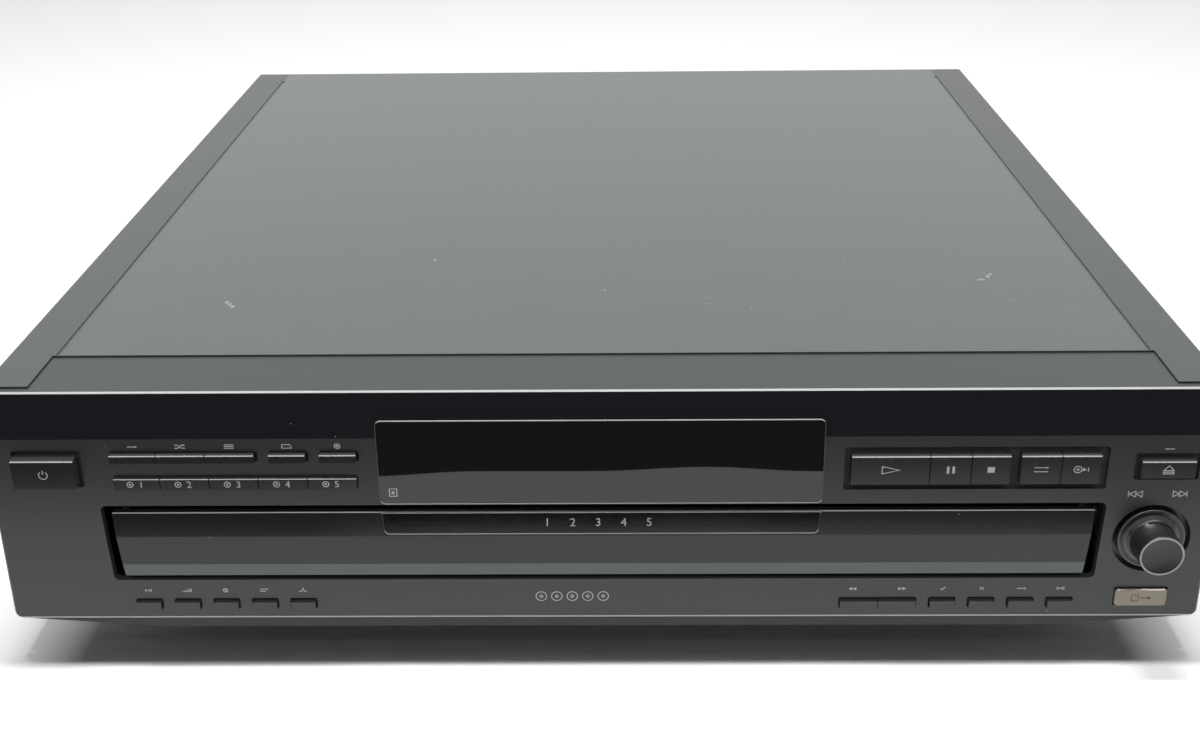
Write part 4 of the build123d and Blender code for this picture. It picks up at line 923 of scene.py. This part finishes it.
class CHANGER_OT_buttons(ChangerOperator):
    """Finish every push button; behind the shining front of its bevel a button is painted in shade,
    as dark as the gap round it.
    """
    bl_idname = "changer.buttons"
    bl_label = "Buttons"

    def execute(self, context):
        _, colours, _ = self.chosen(context)
        for label, lit, names in KEY_ROWS:
            # painted shade: behind the shining front of its bevel the button is painted black
            shade = (zone("Y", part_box(names[0])[0].y + lit * MM, FAR), PAINTED_SHADE_BLACK, 0.75)
            paint(plain_finish(f"key_{label}", (0.016, 0.017, 0.019), 0.2, grain=0.06, dust=0.1,
                               specks=200.0, speck_size=0.02, zones=[shade]), *names)
        # painted shade: the low buttons are painted black just behind their face, so their bevels
        # do not shine
        shade = (zone("Y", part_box(LOW_BUTTONS[0])[0].y + 0.03 * MM, FAR), PAINTED_SHADE_BLACK, 0.75)
        paint_rows([
            ("low_key_plastic", tuple(colours.panel), 0.33, {"grain": 0.2, "zones": [shade]},
             *LOW_BUTTONS),
            ("plate_key_plastic", tuple(colours.plate), 0.34,
             {"metallic": 0.35, "grain": 0.2, "patches": 0.2}, PALE_BUTTON),
        ])
        return {"FINISHED"}


class CHANGER_OT_dial(ChangerOperator):
    """Turn the jog dial: a dished skirt, a tapering grip and a rounded rim round a flat face."""
    bl_idname = "changer.dial"
    bl_label = "Jog dial"

    def execute(self, context):
        middle_z = (KNOB_LOW.z + KNOB_HIGH.z) / 2
        skirt = (KNOB_HIGH.x - KNOB_LOW.x) / 2
        front, back = KNOB_LOW.y, KNOB_HIGH.y
        face = front + 0.12 * MM
        grip, rim, edge = 7.9 * MM, 0.6 * MM, 0.5 * MM
        skirt_front = back - 2.2 * MM
        hollow, swell = 1.1 * MM, 0.35 * MM
        quarter = np.radians(np.linspace(90, 0, 9))
        rows = [(0.0, face), (grip - 1.5 * rim, face)]
        rows += [(grip - rim + rim * math.cos(a), front + rim - rim * math.sin(a))
                 for a in quarter]
        rows += [(grip + (skirt - edge - grip) * t,
                  skirt_front - hollow * (1 - t) ** 2.2 + swell * math.sin(math.pi * t))
                 for t in np.linspace(0, 1, 12)]
        rows += [(skirt - edge + edge * math.cos(a), skirt_front + edge - edge * math.sin(a))
                 for a in quarter]
        rows += [(skirt, back), (0.0, back)]
        finish = plain_finish("knob_plastic", (0.018, 0.019, 0.021), 0.26, grain=0.12, zones=[
            # painted highlight: a pale ring on the front of the rim
            (zone("Y", -FAR, front + 0.11 * MM, 0.02 * MM), (0.6, 0.6, 0.59), 0.3),
            # painted highlight: a paler ring where the grip meets the skirt
            (zone("Y", skirt_front - 0.25 * MM, skirt_front + 0.12 * MM, 0.1 * MM),
             (0.10, 0.105, 0.10), 0.3),
        ])
        shape = turned(rows, 128, KNOB_X, middle_z)
        knob = new_piece("jog_dial", *shape, finish, "dial", "knob_plastic", smooth=True)
        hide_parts("jog_knob")
        paint(plain_finish("shaft_plastic", (0.05, 0.05, 0.05), 0.4), "jog_plunger")
        return {"FINISHED"}


class CHANGER_OT_prints(ChangerOperator):
    """Print plain marks and numerals on the buttons, the panel and the drawer front."""
    bl_idname = "changer.prints"
    bl_label = "Printed marks"

    def execute(self, context):
        sizes, _, _ = self.chosen(context)
        ink = bpy.data.materials["print_ink"]
        for name, marks in KEY_MARKS.items():
            shape = joined(mark_shapes(marks, *key_place(name), sizes))
            new_piece(f"{name}_mark", *shape, ink, name, "key_plastic")
        for number, name in enumerate(DISC_BUTTONS, 1):
            x, z, front = key_place(name)
            shapes = mark_shapes(DISC_MARKS, x, z, front, sizes)
            shapes.append(number_shape(str(number), sizes.numeral, x + 1.6 * MM, z,
                                       front - sizes.ink, sizes.ink * 2))
            new_piece(f"{name}_mark", *joined(shapes), ink, name, "key_plastic")
        brown = plain_finish("brown_ink", (0.22, 0.11, 0.07), 0.5, grain=0.05)
        shape = joined(mark_shapes(PLATE_MARKS, *key_place(PALE_BUTTON), sizes))
        new_piece("plate_mark", *shape, brown, "changer_control_button", "plate_key_plastic")
        new_piece("panel_marks", *joined(self.panel_shapes(sizes)), ink, "cabinet",
                  "panel_plastic")
        shapes = []
        for n in range(5):
            points, faces = number_shape(str(n + 1), 3.1 * MM, (9.0 * n - 19.0) * MM,
                                         FACE_BASE + 40.3 * MM, 0.0, sizes.ink * 2)
            points[:, 1] += inlay_y(points[:, 2]) - sizes.ink
            shapes.append((points, faces))
        new_piece("inlay_numbers", *joined(shapes), ink, "drawer", "door_plastic")
        return {"FINISHED"}

    def panel_shapes(self, sizes):
        """The marks over the buttons, beside and under the dial, and the row of five discs."""
        places = []
        for height, labels in LABEL_ROWS:
            for name, marks in labels.items():
                x = key_place(name)[0] + LABEL_ASIDE.get(name, 0.0) * MM
                places.append((marks, x, height))
        places += [(skip_marks(way, 2.3), KNOB_X + way * 7.4 * MM, 50.6) for way in (-1, 1)]
        places.append(([ring(0, 0, 0.7)], KNOB_X, 19.4))
        disc = [ring(0, 0, 1.9), ring(0, 0, 0.5)]
        places += [(disc, (-22.0 + 5.6 * n) * MM, 8.4) for n in range(5)]
        shapes = []
        for marks, x, height in places:
            shapes += mark_shapes(marks, x, FACE_BASE + height * MM, FACE_Y, sizes)
        return shapes


class CHANGER_OT_mechanism(ChangerOperator):
    """Finish the boards, motors, gears, optical unit, deck and clamp inside the cabinet."""
    bl_idname = "changer.mechanism"
    bl_label = "Mechanism"

    def execute(self, context):
        tracks = pattern("stripes", X_share=1.0, Y_share=1.0, Per_metre=260.0, Duty=0.3)
        fitted = zone("Z", BOARD_FOOT + 1.65 * MM, FAR)
        sheets = pattern("stripes", X_share=0.0, Y_share=1.0, Per_metre=1400.0, Duty=0.5)
        paint(plain_finish("board_green", (0.012, 0.075, 0.03), 0.35, grain=0.02, zones=[
            (tracks, (0.05, 0.16, 0.07), 0.3), (fitted, (0.02, 0.02, 0.022), 0.3),
        ]), "main_board")
        paint(plain_finish("transformer_iron", (0.32, 0.31, 0.29), 0.4, metallic=0.8,
                           zones=[(sheets, (0.20, 0.19, 0.18), 0.35)]), "power_transformer")
        paint_rows(MECHANISM_ROWS)
        return {"FINISHED"}


class CHANGER_OT_rear(ChangerOperator):
    """Finish the line sockets, red above white, and the cord gland."""
    bl_idname = "changer.rear"
    bl_label = "Rear fittings"

    def execute(self, context):
        middle = (JACKS_LOW.z + JACKS_HIGH.z) / 2
        outer = COVER_HIGH.y + 1.5 * MM
        paint(plain_finish("jack_plated", (0.02, 0.02, 0.02), 0.35, grain=0.05, zones=[
            (zone("Z", middle, FAR), (0.32, 0.015, 0.012), 0.35),
            (zone("Z", 0.0, middle), (0.62, 0.61, 0.58), 0.35),
            (zone("Y", outer, FAR), (0.6, 0.58, 0.52), 0.2),
        ]), "output_jacks")
        paint(plain_finish("gland_black", (0.015, 0.015, 0.015), 0.5, grain=0.2), "cord_gland")
        return {"FINISHED"}


# --- the stage

FLOOR_REACH = 4.0
FLOOR_GLOW = 0.45

# the dark card: where along x, in metres, its near edge is how many mm before the panel
CARD_AT = np.array([-1.2, -0.6, -0.13, -0.108, -0.06, -0.005, 0.045, 0.095, 0.6, 1.2])
CARD_DISTANCE = np.array([100, 104, 114, 122.5, 126.5, 126.3, 129.5, 125.5, 112, 106]) * MM
CARD_HEIGHT = 0.6 * MM
CARD_FAR_Y = -2.2

# the bright strip: the middle of its length (y, z), half its length and half its width
STRIP_MIDDLE = np.array([-1.02, 1.35])
STRIP_HALF_LENGTH = 1.1
STRIP_HALF_WIDTH = 0.13
STRIP_STRENGTH = 17.0


def ray_share(tree):
    """1 for rays from the camera, off a glossy surface or through glass."""
    rays = tree.nodes.new("ShaderNodeLightPath").outputs
    seen = maths(tree, "MAXIMUM", rays["Is Camera Ray"], rays["Is Glossy Ray"])
    return maths(tree, "MAXIMUM", seen, rays["Is Transmission Ray"])


def stage_plane(name, corners, material):
    """A flat stage piece from its corner points."""
    mesh = bpy.data.meshes.new(name)
    mesh.from_pydata(corners, [], [tuple(range(len(corners)))])
    thing = bpy.data.objects.new(name, mesh)
    bpy.context.scene.collection.objects.link(thing)
    thing.data.materials.append(material)
    return thing


def show_in_reflections_only(thing):
    """Hide a stage piece from every kind of ray but glossy ones."""
    for kind in ("camera", "diffuse", "shadow", "transmission"):
        setattr(thing, f"visible_{kind}", False)


def soft_lamp(name, place, aim, size, power):
    """A rectangular area lamp that looks from its place to its aim."""
    data = bpy.data.lights.new(name, "AREA")
    data.shape = "RECTANGLE"
    data.size, data.size_y = size
    data.energy = power
    lamp = bpy.data.objects.new(name, data)
    bpy.context.scene.collection.objects.link(lamp)
    lamp.location = place
    lamp.rotation_euler = (Vector(aim) - Vector(place)).to_track_quat("-Z", "Y").to_euler()


class CHANGER_OT_stage(ChangerOperator):
    """Set the pale floor and surround, two lamps, what the front reflects, and the camera."""
    bl_idname = "changer.stage"
    bl_label = "Stage"

    def execute(self, context):
        _, colours, stage = self.chosen(context)
        scene = context.scene
        scene.view_settings.view_transform = "Standard"
        self.lay_floor(colours)
        self.hang_card()
        self.light_world(scene, stage)
        soft_lamp("top_lamp", (0.0, -0.13, 1.5), (0, -0.13, 0), (0.7, 0.05), stage.top_light)
        soft_lamp("edge_lamp", (0.0, -1.0, 1.3), (0, -0.15, 0.05), (1.6, 0.2), stage.edge_light)
        self.hang_reflector()
        self.set_camera(scene)
        return {"FINISHED"}

    def lay_floor(self, colours):
        """A pale floor that glows a little, except under the changer, where the glow is left out as
        painted shadow over its cast shadow.
        """
        material, shader = new_material(
            "floor_pale", Base_Color=(*colours.floor, 1.0), Roughness=0.9, Specular_IOR_Level=0.1,
            Emission_Color=(1.0, 1.0, 0.99, 1.0))
        tree = material.node_tree
        # painted shadow: a blurred rectangle under the changer where the floor does not glow
        painted_shadow_mask = both(zone("X", PANEL_LOW.x + 8 * MM, PANEL_HIGH.x - 8 * MM, 30 * MM),
                     zone("Y", FACE_Y - 4 * MM, COVER_HIGH.y + 20 * MM, 3 * MM))(tree)
        outside = maths(tree, "SUBTRACT", 1.0, painted_shadow_mask)
        share = maths(tree, "MULTIPLY", ray_share(tree), outside)
        tree.links.new(maths(tree, "MULTIPLY", share, FLOOR_GLOW),
                       shader.inputs["Emission Strength"])
        turns = ((-1, -1), (1, -1), (1, 1), (-1, 1))
        stage_plane("floor", [(x * FLOOR_REACH, y * FLOOR_REACH, 0.0) for x, y in turns], material)

    def hang_card(self):
        """A dark card low in front, seen only in reflections, as the room before the panel.

        Its near edge runs through a few distances from the panel, joined by cosine easing.
        """
        material, _ = new_material("card_dark", Base_Color=(0.045, 0.05, 0.055, 1.0),
                                   Roughness=1.0)
        x = np.linspace(CARD_AT[-1], CARD_AT[0], 481)
        step = np.clip(np.searchsorted(CARD_AT, x) - 1, 0, len(CARD_AT) - 2)
        way = (x - CARD_AT[step]) / (CARD_AT[step + 1] - CARD_AT[step])
        ease = (1 - np.cos(np.pi * way)) / 2
        y = FACE_Y - (CARD_DISTANCE[step] * (1 - ease) + CARD_DISTANCE[step + 1] * ease)
        corners = [(float(a), float(b), CARD_HEIGHT) for a, b in zip(x, y)]
        corners += [(CARD_AT[0], CARD_FAR_Y, CARD_HEIGHT), (CARD_AT[-1], CARD_FAR_Y, CARD_HEIGHT)]
        show_in_reflections_only(stage_plane("dark_card", corners, material))

    def hang_reflector(self):
        """A long bright strip above the front, seen only in reflections, for the upper edges.

        It lies square to the line from the origin to its middle.
        """
        material, _ = new_material(
            "strip_bright", Base_Color=(0.0, 0.0, 0.0, 1.0), Emission_Color=(1.0, 1.0, 1.0, 1.0),
            Emission_Strength=STRIP_STRENGTH)
        square = np.array([STRIP_MIDDLE[1], -STRIP_MIDDLE[0]]) / np.linalg.norm(STRIP_MIDDLE)
        low = STRIP_MIDDLE - square * STRIP_HALF_WIDTH
        high = STRIP_MIDDLE + square * STRIP_HALF_WIDTH
        corners = [(side * STRIP_HALF_LENGTH, *place)
                   for side, place in ((-1, low), (1, low), (1, high), (-1, high))]
        show_in_reflections_only(stage_plane("bright_strip", corners, material))

    def light_world(self, scene, stage):
        """A white surround for the rays that see it, and an even ambient light for the rest."""
        world = bpy.data.worlds.new("plain_surround")
        scene.world = world
        world.use_nodes = True
        tree = world.node_tree
        sky = tree.nodes["Background"]
        sky.inputs["Color"].default_value = (1.0, 1.0, 0.992, 1.0)
        extra = maths(tree, "MULTIPLY", ray_share(tree), 1.0 - stage.ambient)
        tree.links.new(maths(tree, "ADD", extra, stage.ambient), sky.inputs["Strength"])

    def set_camera(self, scene):
        """The camera that a fit to the object's corners in the photograph gave."""
        data = bpy.data.cameras.new("camera")
        data.sensor_fit = "HORIZONTAL"
        data.sensor_width = 36.0
        data.lens = FOCAL_PIXELS / PHOTO_SIZE[0] * data.sensor_width
        data.shift_x = (PHOTO_SIZE[0] / 2 - OPTICAL_CENTRE[0]) / PHOTO_SIZE[0]
        data.shift_y = (OPTICAL_CENTRE[1] - PHOTO_SIZE[1] / 2) / PHOTO_SIZE[0]
        data.clip_start = 0.02
        data.clip_end = 50.0
        camera = bpy.data.objects.new("camera", data)
        scene.collection.objects.link(camera)
        turn = (Matrix.Rotation(math.radians(-CAMERA_YAW), 4, "Z")
                @ Matrix.Rotation(math.radians(90 - CAMERA_PITCH), 4, "X")
                @ Matrix.Rotation(math.radians(CAMERA_ROLL), 4, "Z"))
        camera.matrix_world = Matrix.Translation(CAMERA_PLACE) @ turn
        scene.camera = camera


STEPS = [CHANGER_OT_ink, CHANGER_OT_cabinet, CHANGER_OT_window, CHANGER_OT_drawer,
         CHANGER_OT_buttons, CHANGER_OT_dial, CHANGER_OT_prints, CHANGER_OT_mechanism,
         CHANGER_OT_rear, CHANGER_OT_stage]


class CHANGER_PT_steps(bpy.types.Panel):
    """The steps that dress the changer, in their order."""
    bl_idname = "CHANGER_PT_steps"
    bl_label = "Disc Changer"
    bl_space_type = "VIEW_3D"
    bl_region_type = "UI"
    bl_category = "Disc Changer"

    def draw(self, context):
        for step in STEPS:
            self.layout.operator(step.bl_idname)
        for name in ("changer_sizes", "changer_colours", "changer_stage"):
            group = getattr(context.scene, name)
            for key in group.bl_rna.properties.keys():
                if key not in ("rna_type", "name"):
                    self.layout.prop(group, key)


GROUPS = {"changer_sizes": ChangerSizes, "changer_colours": ChangerColours,
          "changer_stage": ChangerStage}


def register():
    for kind in (*GROUPS.values(), *STEPS, CHANGER_PT_steps):
        bpy.utils.register_class(kind)
    for name, kind in GROUPS.items():
        setattr(bpy.types.Scene, name, PointerProperty(type=kind))


def unregister():
    for name in GROUPS:
        delattr(bpy.types.Scene, name)
    for kind in (CHANGER_PT_steps, *reversed(STEPS), *GROUPS.values()):
        bpy.utils.unregister_class(kind)


def main():
    """Dress the frame step by step."""
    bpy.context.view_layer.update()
    register()
    for step in STEPS:
        group, name = step.bl_idname.split(".")
        if getattr(getattr(bpy.ops, group), name)() != {"FINISHED"}:
            raise RuntimeError(f"{step.bl_label} did not finish")


if __name__ == "__main__":
    main()
